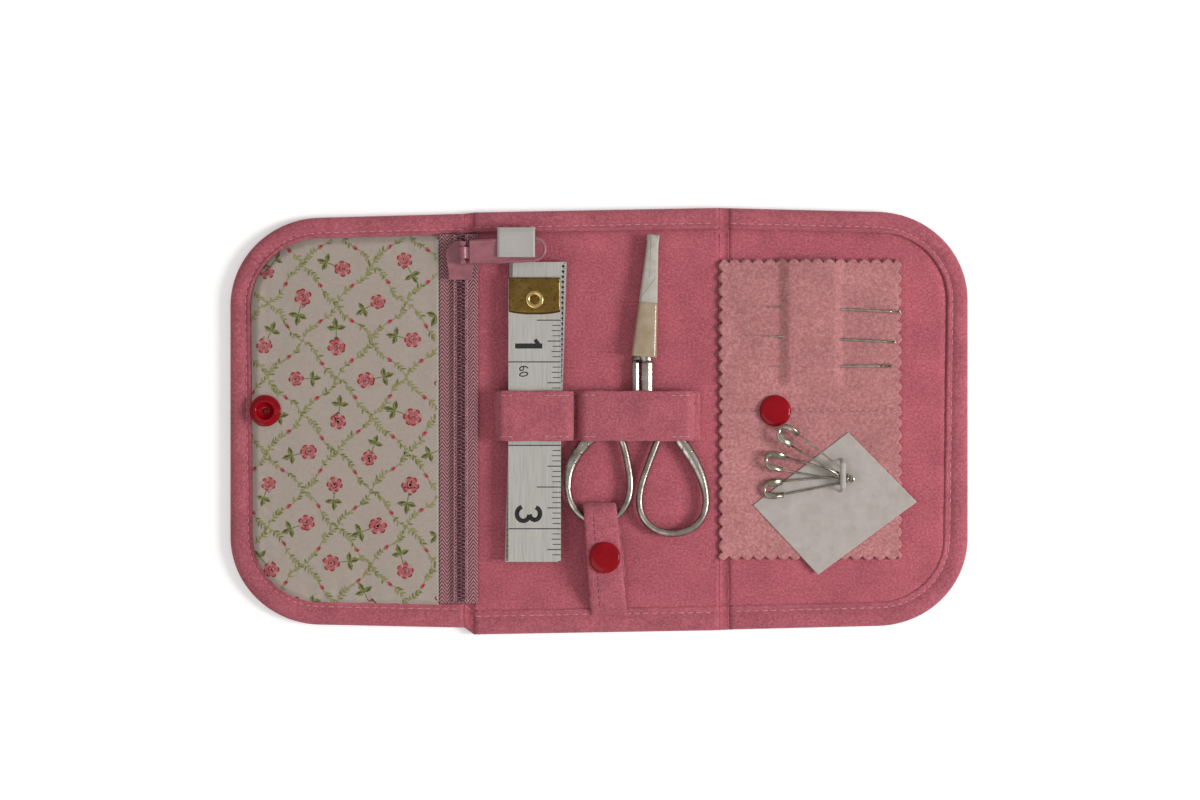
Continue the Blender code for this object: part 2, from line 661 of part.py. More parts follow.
def make_zip(materials, left, slider_pivot, tab_pivot):
    """Tapes, coils, slider and pull tab of the pocket's zip."""
    tape_top = ZIP_TAPE_Z + ZIP_TAPE_THICK
    coil_z = tape_top + LAYER_GAP
    coil_top = coil_z + COIL_HEIGHT
    half_gap = ZIP_GAP / 2
    for name, side, width in (("left", -1, ZIP_TAPE_LEFT), ("right", 1, ZIP_TAPE_RIGHT)):
        xs = sorted((ZIP_X + side * half_gap, ZIP_X + side * width))
        body = block((xs[0], ZIP_BOTTOM_Y, ZIP_TAPE_Z), (xs[1], ZIP_TOP_Y, tape_top))
        add_node("zip_tape_" + name, body, materials["zip"], left)
        xs = sorted((ZIP_X + side * half_gap, ZIP_X + side * (half_gap + COIL_WIDTH)))
        body = block((xs[0], ZIP_BOTTOM_Y, coil_z), (xs[1], ZIP_TOP_Y, coil_top))
        add_node("zip_coil_" + name, body, materials["coil"], left)

    low_y, high_y = SLIDER_Y
    plate_z = coil_top + SLIDER_CLEAR
    plate_top = plate_z + SLIDER_PLATE
    centre_y = high_y - SLIDER_HALF_WIDTH
    outline = [
        (ZIP_X - SLIDER_TAIL_HALF_WIDTH, low_y),
        (ZIP_X + SLIDER_TAIL_HALF_WIDTH, low_y),
        (ZIP_X + SLIDER_TAIL_HALF_WIDTH, low_y + SLIDER_TAIL / 2),
    ]
    for step in range(9):
        angle = pi * step / 8
        outline.append((ZIP_X + SLIDER_HALF_WIDTH * cos(angle), centre_y + SLIDER_HALF_WIDTH * sin(angle)))
    outline.append((ZIP_X - SLIDER_TAIL_HALF_WIDTH, low_y + SLIDER_TAIL / 2))
    slider = add_node("zip_slider", prism(outline, plate_z, plate_top), materials["slider"], slider_pivot)
    foot_z = LINING_TOP + SLIDER_FOOT_GAP
    neck = half_gap - LAYER_GAP
    join(
        slider,
        prism(outline, foot_z, foot_z + SLIDER_FOOT),
        block((ZIP_X - neck, low_y + SLIDER_TAIL, foot_z + SLIDER_FOOT / 2),
              (ZIP_X + neck, centre_y, plate_z + SLIDER_PLATE / 2)),
    )
    bar_low = TAB_AXIS_Z - BRIDGE_BAR / 2
    bar_high = TAB_AXIS_Z + BRIDGE_BAR / 2
    half_post = BRIDGE_WIDTH / 2
    half_bar = BRIDGE_BAR / 2
    post_low = plate_z + SLIDER_PLATE / 2
    for post_y in (BRIDGE_Y[0], BRIDGE_Y[1] - BRIDGE_POST):
        join(slider, block((TAB_AXIS_X - half_post, post_y, post_low),
                           (TAB_AXIS_X + half_post, post_y + BRIDGE_POST, bar_high + BRIDGE_BAR / 4)))
    join(slider, block((TAB_AXIS_X - half_bar, BRIDGE_Y[0] + BRIDGE_POST / 2, bar_low),
                       (TAB_AXIS_X + half_bar, BRIDGE_Y[1] - BRIDGE_POST / 2, bar_high)))

    eye_y = (BRIDGE_Y[0] + BRIDGE_Y[1]) / 2
    eye_rows = []
    for radius, y in (
        (TAB_EYE_OUTER, eye_y - TAB_EYE_WIDTH / 2),
        (TAB_EYE_OUTER, eye_y + TAB_EYE_WIDTH / 2),
        (TAB_EYE_INNER, eye_y + TAB_EYE_WIDTH / 2),
        (TAB_EYE_INNER, eye_y - TAB_EYE_WIDTH / 2),
    ):
        eye_rows.append([(x, y, z) for x, z in circle((TAB_AXIS_X, TAB_AXIS_Z), radius, 16)])
    eye = skin(eye_rows, closed_profile=True, closed_path=True)
    tab = add_node("zip_pull_tab", eye, materials["slider"], tab_pivot)
    tab_low = TAB_AXIS_Z + LAYER_GAP
    tab_high = tab_low + TAB_THICK
    half_width = TAB_WIDTH / 2
    start_x = TAB_AXIS_X + TAB_NECK_GAP
    end_x = TAB_AXIS_X + TAB_LENGTH - half_width

    def tab_outline(inset, from_x, steps=8):
        """The long rounded outline of the tab, drawn in by inset from a given start."""
        radius = half_width - inset
        points = [(from_x, -radius)]
        for step in range(steps + 1):
            angle = pi * (step / steps - 0.5)
            points.append((end_x + radius * cos(angle), radius * sin(angle)))
        points.append((from_x, radius))
        return [(x, eye_y + y + TAB_TIP_RISE * (x - TAB_AXIS_X) / TAB_LENGTH) for x, y in points]

    join(tab, prism(tab_outline(0, start_x), tab_low, tab_high))
    neck_low = TAB_AXIS_X + TAB_EYE_INNER + LAYER_GAP
    join(tab, block((neck_low, eye_y - TAB_EYE_WIDTH / 2, tab_low + LAYER_GAP),
                    (start_x + TAB_RIM, eye_y + TAB_EYE_WIDTH / 2, tab_high - LAYER_GAP)))
    window_x = TAB_AXIS_X + TAB_LENGTH - TAB_RIM - TAB_WINDOW
    cut(tab, prism(tab_outline(TAB_RIM, window_x), tab_low - OVERRUN, tab_high + OVERRUN))


def snap_cap(name, centre, low, facing, post_end, material, pivot, radius=SNAP_RADIUS):
    """A domed cap and its post. facing is +1 where the dome looks up."""
    high = low + SNAP_CAP
    flat, dome = (low, high) if facing > 0 else (high, low)
    edge = SNAP_CAP / 4 * facing
    rings = (
        (SNAP_POST_RADIUS, post_end),
        (SNAP_POST_RADIUS, flat),
        (radius, flat),
        (radius, flat + edge),
        (radius * CAP_SHOULDER_SHARE, dome - edge),
        (radius * CAP_DOME_SHARE, dome),
    )
    return add_node(name, disc(centre, rings), material, pivot)


def snap_stud(name, centre, face, facing, material, pivot):
    """A flange against the cloth at face, with the boss that the socket grips."""
    flange = face + facing * SNAP_FLANGE
    tip = flange + facing * STUD_HEIGHT
    profile = (
        (SNAP_HOLE_RADIUS, face),
        (SNAP_RADIUS, face),
        (SNAP_RADIUS, flange),
        (STUD_RADIUS, flange),
        (STUD_RADIUS, tip),
        (SNAP_HOLE_RADIUS, tip),
    )
    return add_node(name, turned(centre, profile), material, pivot)


def snap_socket(name, centre, face, facing, height, material, pivot):
    """A flange against the cloth at face, with the ring that grips the stud."""
    flange = face + facing * SNAP_FLANGE
    top = face + facing * height
    profile = (
        (SNAP_HOLE_RADIUS, face),
        (SNAP_RADIUS, face),
        (SNAP_RADIUS, flange),
        (SOCKET_RING, flange),
        (SOCKET_RING, top),
        (SOCKET_BORE, top),
        (SOCKET_BORE, flange),
        (SNAP_HOLE_RADIUS, flange),
    )
    return add_node(name, turned(centre, profile), material, pivot)


def make_closure(materials, left, right):
    """The snap that holds the folded case shut."""
    red = materials["snap"]
    left_centre = (left_snap_x(), SNAP_Y)
    post_top = POCKET_TOP + SNAP_FLANGE / 2
    snap_cap("left_snap_cap", left_centre, SNAP_GAP, -1, post_top, red, left, BACK_CAP_RADIUS)
    snap_socket("left_snap_socket", left_centre, POCKET_TOP + SNAP_GAP, 1, SOCKET_HEIGHT, red, left)
    right_centre = (RIGHT_SNAP_X, SNAP_Y)
    snap_cap("right_snap_cap", right_centre, FELT_Z + FELT + SNAP_GAP, 1, STUD_HEIGHT, red, right)
    snap_stud("right_snap_stud", right_centre, STUD_DIMPLE - SNAP_GAP, -1, red, right)


def make_tape(materials, tape_pivot):
    """The tape measure, folded back and forth, with its brass end plate and eyelet."""
    stack_top = TAPE_Z + TAPE_PITCH * TAPE_LEAVES
    leaves = []
    for leaf in range(TAPE_LEAVES):
        z = TAPE_Z + TAPE_THICK / 2 + TAPE_PITCH * leaf
        at_top_first = leaf % 2 == 0
        fan = sin(pi * (leaf + 0.5) / TAPE_LEAVES)
        ends = [(TAPE_BOTTOM_Y, z, -TAPE_FAN_BOTTOM * fan), (TAPE_TOP_Y, z, TAPE_FAN_TOP * fan)]
        leaves += ends[::-1] if at_top_first else ends
    front_z = stack_top + PLATE_THICK + PLATE_GAP * 3 + TAPE_THICK / 2
    front_end = PLATE_TOP_Y - PLATE_THICK - PLATE_GAP * 2
    leaves += [(TAPE_BOTTOM_Y, front_z, 0.0), (front_end, front_z, 0.0)]
    line = [(y, z) for y, z, fan in leaves]
    half = TAPE_WIDTH / 2
    spans = [(TAPE_X + fan - half, TAPE_X + fan + half) for y, z, fan in leaves]
    tape = add_node("tape_measure", strip_along_y(line, TAPE_THICK, spans), materials["tape"], tape_pivot)

    low = front_z - TAPE_THICK / 2 - PLATE_GAP - PLATE_THICK
    high = front_z + TAPE_THICK / 2 + PLATE_GAP + PLATE_THICK
    half_plate = PLATE_WIDTH / 2
    bottom_y = PLATE_TOP_Y - PLATE_LENGTH
    body = block((TAPE_X - half_plate, bottom_y, low), (TAPE_X + half_plate, PLATE_TOP_Y, high))
    plate = add_node("tape_end_plate", body, materials["brass"], tape_pivot)
    cut(plate, block(
        (TAPE_X - half_plate - OVERRUN, bottom_y - OVERRUN, low + PLATE_THICK),
        (TAPE_X + half_plate + OVERRUN, PLATE_TOP_Y - PLATE_THICK, high - PLATE_THICK)))
    centre = (TAPE_X, PLATE_TOP_Y - EYELET_DROP)
    tube_radius = EYELET_INNER + EYELET_WALL
    hole = tube_radius + PLATE_GAP
    for piece in (plate, tape):
        cut(piece, disc(centre, ((hole, low - PLATE_GAP / 2), (hole, high + OVERRUN))))
    eyelet = turned(centre, (
        (EYELET_INNER, low),
        (tube_radius, low),
        (tube_radius, high + PLATE_GAP),
        (EYELET_OUTER, high + PLATE_GAP),
        (EYELET_OUTER, high + PLATE_GAP + EYELET_RIM / 2),
        ((EYELET_OUTER + EYELET_INNER) / 2, high + PLATE_GAP + EYELET_RIM),
        (EYELET_INNER, high + PLATE_GAP + EYELET_RIM / 2),
    ))
    add_node("tape_eyelet", eyelet, materials["brass"], tape_pivot)
    return high + PLATE_GAP + EYELET_RIM


def make_strap(materials, middle, tape_height):
    """The cloth band with two bays, one for the tape and one for the scissors."""
    half = STRAP_CLOTH / 2
    low = LINING_TOP + LAYER_GAP + half
    tape_bay = tape_height + STRAP_GAP + half
    tool_bay = SCISSOR_Z + RIGHT_SHANK_HEIGHT + STRAP_GAP + half
    line = (
        (STRAP_LEFT_SEAM_X - STRAP_SEAM, low),
        (STRAP_LEFT_SEAM_X, low),
        (STRAP_LEFT_SEAM_X + half, tape_bay - STRAP_SHOULDER),
        (STRAP_LEFT_SEAM_X + STRAP_SHOULDER, tape_bay),
        (STRAP_MIDDLE_SEAM_X - STRAP_SHOULDER, tape_bay),
        (STRAP_MIDDLE_SEAM_X - half, tape_bay - STRAP_SHOULDER),
        (STRAP_MIDDLE_SEAM_X, low),
        (STRAP_MIDDLE_SEAM_X + STRAP_SEAM, low),
        (STRAP_MIDDLE_SEAM_X + STRAP_SEAM + STRAP_SHOULDER, tool_bay),
        (STRAP_RIGHT_SEAM_X - half, tool_bay),
        (STRAP_RIGHT_SEAM_X, low),
        (STRAP_RIGHT_SEAM_X + STRAP_TAIL, low),
    )
    add_node("tool_strap", strip_along_x(line, STRAP_CLOTH, *STRAP_Y), materials["suede"], middle)


def ring_path(ring, skew, pinch_share):
    """Centre line of a finger ring, a drop shape that narrows to its top."""
    centre_x, centre_y, half_width, half_height = ring
    points = []
    for step in range(RING_STEPS):
        angle = 2 * pi * step / RING_STEPS
        high = cos(angle)
        x = centre_x + half_width * sin(angle) * (1 - pinch_share * high) + skew * max(high, 0) ** 2
        points.append((x, centre_y + half_height * high, SCISSOR_Z))
    return points


def ring_widths(outer_side):
    """The wire is thicker over the engraved outer shoulder."""
    widths = []
    for step in range(RING_STEPS):
        angle = 2 * pi * step / RING_STEPS
        on_shoulder = max(0.0, sin(outer_side * angle)) * max(0.0, cos(angle) + SHOULDER_START_SHARE)
        swell = min(1.0, SHOULDER_SWELL_SHARE * on_shoulder)
        widths.append(WIRE_RADIUS + (SHOULDER_RADIUS - WIRE_RADIUS) * swell)
    return widths


def blade_outline():
    """Blade from the pivot to its point."""
    reach = Vector(BLADE_TIP) - Vector(PIVOT)
    along = reach.normalized()
    across = Vector((along.y, -along.x))
    base = Vector(PIVOT)
    tip = Vector(BLADE_TIP)
    return [tuple(p) for p in (
        base - across * BLADE_BASE_WIDTH / 2,
        base + across * BLADE_BASE_WIDTH / 2,
        tip + across * BLADE_TIP_WIDTH / 2,
        tip - across * BLADE_TIP_WIDTH / 2,
    )]


def make_scissors(materials, scissors, opening, sheath_pivot):
    """Two halves that cross at a screw, and the paper sheath on the blades."""
    layers = {
        "left": (SCISSOR_Z - BLADE_GAP / 2 - BLADE_THICK, SCISSOR_Z - BLADE_GAP / 2),
        "right": (SCISSOR_Z + BLADE_GAP / 2, SCISSOR_Z + BLADE_GAP / 2 + BLADE_THICK),
    }
    for side, ring, skew, pinch, shank_x, radius, height, pivot in (
        ("left", LEFT_RING, LEFT_RING_SKEW, LEFT_PINCH_SHARE, LEFT_SHANK_X, LEFT_SHANK_RADIUS,
         LEFT_SHANK_HEIGHT, scissors),
        ("right", RIGHT_RING, RIGHT_RING_SKEW, RIGHT_PINCH_SHARE, RIGHT_SHANK_X, RIGHT_SHANK_RADIUS,
         RIGHT_SHANK_HEIGHT, opening),
    ):
        low, high = layers[side]
        step = PLATE_STEP
        half = add_node("scissor_half_" + side, prism(blade_outline(), low, high), materials["steel"], pivot)
        join(half, disc(PIVOT, ((DISC_RADIUS, low + step), (DISC_RADIUS, high - step))))
        cut(half, disc(PIVOT, ((SCREW_HOLE, low - OVERRUN), (SCREW_HOLE, high + OVERRUN))))
        cheek = [
            (shank_x - radius * CHEEK_SHARE, SHANK_TOP_Y - CHEEK_LAP),
            (shank_x + radius * CHEEK_SHARE, SHANK_TOP_Y - CHEEK_LAP),
            (PIVOT[0] + DISC_RADIUS * CHEEK_WIDE_SHARE, PIVOT[1] - DISC_RADIUS / 2),
            (PIVOT[0] - DISC_RADIUS * CHEEK_WIDE_SHARE, PIVOT[1] - DISC_RADIUS / 2),
        ]
        apex = (ring[0] + skew, ring[1] + ring[3] - WIRE_RADIUS / 4, SCISSOR_Z)
        knee = (shank_x, SHANK_LOW_Y, SCISSOR_Z)
        top = (shank_x + step, SHANK_TOP_Y, SCISSOR_Z)
        outer_side = -1 if side == "left" else 1
        join(
            half,
            prism(cheek, low + step * 2, high - step * 2),
            tube([apex, knee, top], [WIRE_RADIUS * APEX_SHARE, radius, radius], height),
            tube(ring_path(ring, skew, pinch), ring_widths(outer_side), WIRE_RADIUS, closed=True),
        )
    bottom = layers["left"][0]
    top = layers["right"][1]
    add_node("scissor_screw", disc(PIVOT, (
        (SCREW_HEAD_RADIUS, bottom - LAYER_GAP - SCREW_HEAD / 2),
        (SCREW_HEAD_RADIUS, bottom - LAYER_GAP),
        (SCREW_RADIUS, bottom - LAYER_GAP),
        (SCREW_RADIUS, top + LAYER_GAP),
        (SCREW_HEAD_RADIUS, top + LAYER_GAP),
        (SCREW_HEAD_RADIUS * HEAD_TAPER_SHARE, top + LAYER_GAP + SCREW_HEAD),
    )), materials["steel"], scissors)

    base = Vector((*SHEATH_BASE, SHEATH_BASE_Z))
    tip = Vector((*SHEATH_TIP, SCISSOR_Z))
    along = (tip - base).normalized()
    across = along.cross(UP).normalized()

    def section(centre, width, height):
        """A flattened round section of the sheath."""
        ring = []
        for side in range(SHEATH_SIDES):
            angle = 2 * pi * (side + 0.5) / SHEATH_SIDES
            round_x = cos(angle) / max(abs(cos(angle)), abs(sin(angle))) ** SHEATH_SQUARE_SHARE
            round_z = sin(angle) / max(abs(cos(angle)), abs(sin(angle))) ** SHEATH_SQUARE_SHARE
            ring.append(centre + across * width / 2 * round_x + UP * height / 2 * round_z)
        return ring

    wall = 2 * SHEATH_WALL
    rings = [
        section(tip - along * SHEATH_WALL, SHEATH_TIP_WIDTH - wall, SHEATH_TIP_HEIGHT - wall),
        section(base, SHEATH_BASE_WIDTH - wall, SHEATH_BASE_HEIGHT - wall),
        section(base, SHEATH_BASE_WIDTH, SHEATH_BASE_HEIGHT),
        section(tip, SHEATH_TIP_WIDTH, SHEATH_TIP_HEIGHT),
    ]
    add_node("blade_sheath", loft(rings), materials["sheath"], sheath_pivot)


def make_retainer(materials, middle):
    """The cloth loop through the left ring, snapped to itself in front of the ring."""
    cloth = RETAINER_CLOTH
    back_cap = LINING_TOP + SNAP_GAP
    back_z = back_cap + SNAP_CAP + SNAP_GAP
    socket_z = back_z + cloth + SNAP_GAP
    stud_face = socket_z + SNAP_FLANGE + STUD_HEIGHT + SNAP_FLANGE + SNAP_GAP
    front_z = stud_face + SNAP_GAP
    front = front_z + cloth / 2
    back = back_z + cloth / 2
    wire_low = SCISSOR_Z - WIRE_RADIUS - RETAINER_WIRE_GAP - cloth / 2
    fold = (front - wire_low) / 2
    top = RETAINER_TOP_Y - cloth / 2
    binding_y = (MIDDLE_BOTTOM_Y[0] + MIDDLE_BOTTOM_Y[1]) / 2 + BINDING_BOTTOM
    grip_z = RIM_POCKET_Z + cloth / 2
    snap_y = RETAINER_SNAP_Y
    flat = SNAP_RADIUS + cloth
    line = [
        (binding_y - BINDING_BOTTOM / 2, grip_z),
        (binding_y + RIM_GAP, grip_z),
        (binding_y + RIM_GAP + RIM_RISE, LINING_TOP + LAYER_GAP + cloth),
        (snap_y - flat, front),
        (top - fold, front),
    ]
    for step in range(1, 6):
        angle = pi * step / 6
        line.append((top - fold + fold * sin(angle), wire_low + fold + fold * cos(angle)))
    line += [
        (top - fold, wire_low),
        (snap_y + flat + cloth * 3, wire_low),
        (snap_y + flat, back),
        (snap_y - RETAINER_BACK_END, back),
    ]
    spans = []
    for y, z in line:
        low_share = min(max((top - y) / (top - binding_y), 0), 1)
        centre = RETAINER_TOP_X + (RETAINER_BASE_X - RETAINER_TOP_X) * low_share
        half = (RETAINER_TOP_WIDTH + (RETAINER_BASE_WIDTH - RETAINER_TOP_WIDTH) * low_share) / 2
        spans.append((centre - half, centre + half))
    loop = add_node("retainer_loop", strip_along_y(line, cloth, spans), materials["suede"], middle)
    low_share = (top - snap_y) / (top - binding_y)
    centre = (RETAINER_TOP_X + (RETAINER_BASE_X - RETAINER_TOP_X) * low_share, snap_y)
    cut(loop, disc(centre, ((SNAP_HOLE_RADIUS, 0), (SNAP_HOLE_RADIUS, front + OVERRUN))))
    red = materials["snap"]
    snap_cap("retainer_snap_back_cap", centre, back_cap, -1, socket_z + SNAP_FLANGE / 2, red, middle)
    snap_socket("retainer_snap_socket", centre, socket_z, 1, SOCKET_HEIGHT, red, middle)
    snap_stud("retainer_snap_stud", centre, stud_face, -1, red, middle)
    snap_cap("retainer_snap_front_cap", centre, front_z + cloth + SNAP_GAP, 1,
             stud_face - SNAP_FLANGE - STUD_HEIGHT / 2, red, middle)


def pinked(corners, open_sides):
    """An outline with a zigzag along the sides that are pinked."""
    points = []
    for index, start in enumerate(corners):
        end = corners[(index + 1) % len(corners)]
        points.append(start)
        if not open_sides[index]:
            continue
        run = Vector(end) - Vector(start)
        inward = Vector((-run.y, run.x)).normalized() * PINK_DEPTH
        teeth = max(1, round(run.length / PINK_PITCH))
        for tooth in range(teeth):
            middle = Vector(start) + run * (tooth + 0.5) / teeth + inward
            points.append(tuple(middle))
            if tooth < teeth - 1:
                points.append(tuple(Vector(start) + run * (tooth + 1) / teeth))
    return points


def make_felt(materials, right, needle_page, pin_page):
    """Felt page for needles, felt page for pins, and the sewn band between them."""
    felt_top = FELT_Z + FELT
    seam_low = PIN_HINGE_Y + PAGE_GAP
    seam_high = NEEDLE_HINGE_Y - PAGE_GAP
    corners = ((FELT_LEFT_X, NEEDLE_HINGE_Y), (FELT_RIGHT_X, NEEDLE_HINGE_Y),
               (FELT_RIGHT_X, FELT_TOP_Y), (FELT_LEFT_X + PINK_DEPTH, FELT_TOP_Y))
    crest = FELT_Z + FELT / 2 + HUMP_RISE
    flat = FELT_Z + FELT / 2
    line = (
        (FELT_LEFT_X - OVERRUN, flat),
        (HUMP_X[0], flat),
        (HUMP_X[0] + HUMP_SLOPE, crest),
        (HUMP_X[1] - HUMP_SLOPE, crest),
        (HUMP_X[1], flat),
        (FELT_RIGHT_X + OVERRUN, flat),
    )
    upper = add_node("felt_needle_page",
                     strip_along_x(line, FELT, NEEDLE_HINGE_Y - OVERRUN, FELT_TOP_Y + OVERRUN),
                     materials["felt"], needle_page)
    outline = pinked(corners, (False, True, True, True))
    combine(upper, prism(outline, FELT_Z - OVERRUN, crest + FELT + OVERRUN), "INTERSECT")
    for start, end in NEEDLE_ENDS:
        z = felt_top + NEEDLE_SEAT + NEEDLE_RADIUS
        path = [(HUMP_X[0] - HUMP_SLOPE, start, end), (HUMP_X[1] + HUMP_SLOPE, start, end)]
        points = []
        for x, low, high in path:
            along_share = (x - low[0]) / (high[0] - low[0])
            points.append((x, low[1] + (high[1] - low[1]) * along_share, z))
        cut(upper, tube(points, [NEEDLE_HOLE] * 2, NEEDLE_HOLE))

    seam_outline = pinked(
        ((FELT_LEFT_X, seam_low), (FELT_RIGHT_X, seam_low),
         (FELT_RIGHT_X, seam_high), (FELT_LEFT_X, seam_high)),
        (False, True, False, True))
    seam = add_node("felt_seam_band", prism(seam_outline, FELT_Z, felt_top), materials["felt"], right)
    cut(seam, disc((RIGHT_SNAP_X, SNAP_Y), ((SNAP_HOLE_RADIUS, 0), (SNAP_HOLE_RADIUS, felt_top + OVERRUN))))

    lower = add_node("felt_pin_page", prism(pinked(
        ((FELT_LEFT_X, FELT_BOTTOM_Y), (FELT_RIGHT_X, FELT_BOTTOM_Y),
         (FELT_RIGHT_X, PIN_HINGE_Y), (FELT_LEFT_X, PIN_HINGE_Y)),
        (True, True, False, True)), FELT_Z, felt_top), materials["felt"], pin_page)
    notch = SNAP_RADIUS + PAGE_GAP
    cut(lower, disc((RIGHT_SNAP_X, SNAP_Y), ((notch, 0), (notch, felt_top + OVERRUN))))


def make_needles(materials, pivots):
    """Three hand needles, each with its eye at the right."""
    for number, (start, end) in enumerate(NEEDLE_ENDS, start=1):
        z = FELT_Z + FELT + NEEDLE_SEAT + NEEDLE_RADIUS
        point = Vector((*start, z))
        eye = Vector((*end, z))
        along = (eye - point).normalized()
        length = (eye - point).length
        eye_start = eye - along * EYE_LENGTH
        stations = (
            (point, NEEDLE_POINT),
            (point + along * length * NEEDLE_TAPER_SHARE, NEEDLE_RADIUS),
            (eye_start, NEEDLE_RADIUS),
            (eye_start + along * EYE_LENGTH / 3, EYE_HALF_WIDTH),
            (eye - along * EYE_LENGTH / 5, EYE_HALF_WIDTH),
            (eye, NEEDLE_RADIUS * EYE_TIP_SHARE),
        )
        bar = tube([place for place, width in stations], [width for place, width in stations], NEEDLE_RADIUS)
        for vert in bar.verts:
            reach = (vert.co - point).length / (length * NEEDLE_TAPER_SHARE)
            if reach < NEEDLE_FLAT_SHARE:
                vert.co.z = z + (vert.co.z - z) * NEEDLE_POINT / NEEDLE_RADIUS
        needle = add_node("needle_%d" % number, bar, materials["steel"], pivots[number - 1])
        slot_centre = eye - along * EYE_LENGTH / 2
        ends = [slot_centre - along * EYE_SLOT / 2, slot_centre + along * EYE_SLOT / 2]
        cut(needle, tube(ends, [EYE_SLOT_WIDTH / 2] * 2, NEEDLE_RADIUS + OVERRUN, sides=4))


def make_pins(materials, page, arm_pivots):
    """The paper with its raised band, and three safety pins held under it."""
    paper_z = FELT_Z + FELT + PAPER_GAP
    paper_top = paper_z + PAPER
    first = paper_top + PIN_FIRST_GAP + PIN_WIRE_RADIUS
    levels = [first + PIN_LEVEL * step for step in range(3)][::-1]
    paper = add_node("pin_paper", prism(PAPER_CORNERS[::-1], paper_z, paper_top), materials["paper"], page)
    low_y, high_y = PAPER_BAND_Y
    band_z = levels[0] + PIN_WIRE_RADIUS + PAPER_GAP
    half = PAPER_BAND_WIDTH / 2
    join(paper, strip_along_y(
        ((low_y - PAPER, paper_z + PAPER / 2), (low_y + PAPER, paper_z + PAPER / 2),
         (low_y + PAPER * 4, band_z), (high_y - PAPER * 4, band_z),
         (high_y - PAPER, paper_z + PAPER / 2), (high_y + PAPER, paper_z + PAPER / 2)),
        PAPER * BAND_THIN_SHARE, [(PAPER_BAND_X - half, PAPER_BAND_X + half)] * 6))

    for number, (level, angle, arm_side) in enumerate(zip(levels, PIN_ANGLES, PIN_ARM_SIDES), start=1):
        along = Vector((cos(angle), sin(angle), 0))
        across = Vector((-sin(angle), cos(angle), 0))
        centre = Vector((*COIL_CENTRE, level))

        def spot(reach, aside):
            """A place on the pin, from its coil along and across it."""
            return centre + along * reach + across * aside

        spread = PIN_ARM_SPREAD / 2
        head = PIN_LENGTH
        cap_start = head - PIN_CAP_LENGTH
        half_cap = PIN_CAP_WIDTH / 2
        fixed = -arm_side
        ring_rows = []
        for radius, drop in ((PIN_COIL_RADIUS, -1), (PIN_COIL_RADIUS, 1),
                             (PIN_COIL_HOLE, 1), (PIN_COIL_HOLE, -1)):
            z = level + drop * PIN_WIRE_RADIUS
            ring_rows.append([(x, y, z) for x, y in circle(COIL_CENTRE, radius, 12)])
        frame = add_node("safety_pin_%d_frame" % number, skin(ring_rows, True, True), materials["pin"], page)
        coil_edge = PIN_COIL_RADIUS - PIN_WIRE_RADIUS
        join(frame, tube([spot(0, fixed * coil_edge), spot(cap_start + PIN_CAP_LENGTH / 2, fixed * spread)],
                         [PIN_WIRE_RADIUS] * 2, PIN_WIRE_RADIUS * PIN_FLAT_SHARE, sides=6))
        start = PIN_COIL_RADIUS + PIN_ARM_GAP
        arm_end = head - PIN_CAP_LENGTH * PIN_REACH_SHARE
        arm = tube([spot(start, arm_side * coil_edge * PIN_FLAT_SHARE), spot(arm_end, arm_side * spread)],
                   [PIN_WIRE_RADIUS, PIN_WIRE_RADIUS * PIN_POINT_SHARE],
                   PIN_WIRE_RADIUS * PIN_FLAT_SHARE, sides=6)
        add_node("safety_pin_%d_arm" % number, arm, materials["pin"], arm_pivots[number - 1])

        def cap_outline(inset):
            """The rounded outline of the pin's head."""
            points = [spot(cap_start, -half_cap + inset)]
            radius = half_cap - inset
            for step in range(9):
                turn = pi * (step / 8 - 0.5)
                points.append(spot(head - half_cap + radius * cos(turn), radius * sin(turn)))
            points.append(spot(cap_start, half_cap - inset))
            return [(p.x, p.y) for p in points]

        thick = PIN_CAP_THICK / 2
        cap = add_node("safety_pin_%d_cap" % number, prism(cap_outline(0), level - thick, level + thick),
                       materials["pin"], page)
        room = PIN_WIRE_RADIUS + PIN_ARM_GAP
        lane = [spot(0, fixed * coil_edge), spot(cap_start + PIN_CAP_LENGTH / 2 + room, fixed * spread)]
        cut(cap, tube(lane, [room * PIN_LANE_SHARE] * 2, room * PIN_LANE_SHARE))
        beyond = half_cap + OVERRUN
        mouth = [spot(cap_start - OVERRUN, arm_side * (spread * (cap_start - OVERRUN) / arm_end - room)),
                 spot(arm_end + room, arm_side * (spread - room)),
                 spot(arm_end + room, arm_side * beyond),
                 spot(cap_start - OVERRUN, arm_side * beyond)]
        cut(cap, prism([(p.x, p.y) for p in mouth], level - room, level + room))


def make_label(materials, middle):
    """A folded satin label, left bare, sewn in the top seam and lying over the pull tab."""
    half = LABEL_THICK / 2
    tab_top = TAB_AXIS_Z + LAYER_GAP + TAB_THICK
    over = tab_top + LABEL_GAP + half
    line = (
        (LABEL_TOP_Y + LABEL_THICK * 2, BINDING_HEIGHT + LAYER_GAP + half),
        (LABEL_TOP_Y, BINDING_HEIGHT + LAYER_GAP + half),
        (LABEL_TOP_Y - LABEL_THICK * 2, over - LABEL_THICK * 3),
        (LABEL_TOP_Y - LABEL_THICK * 6, over),
        (LABEL_END_Y, over),
    )
    add_node("label", strip_along_y(line, LABEL_THICK, [LABEL_X] * len(line)), materials["satin"], middle)


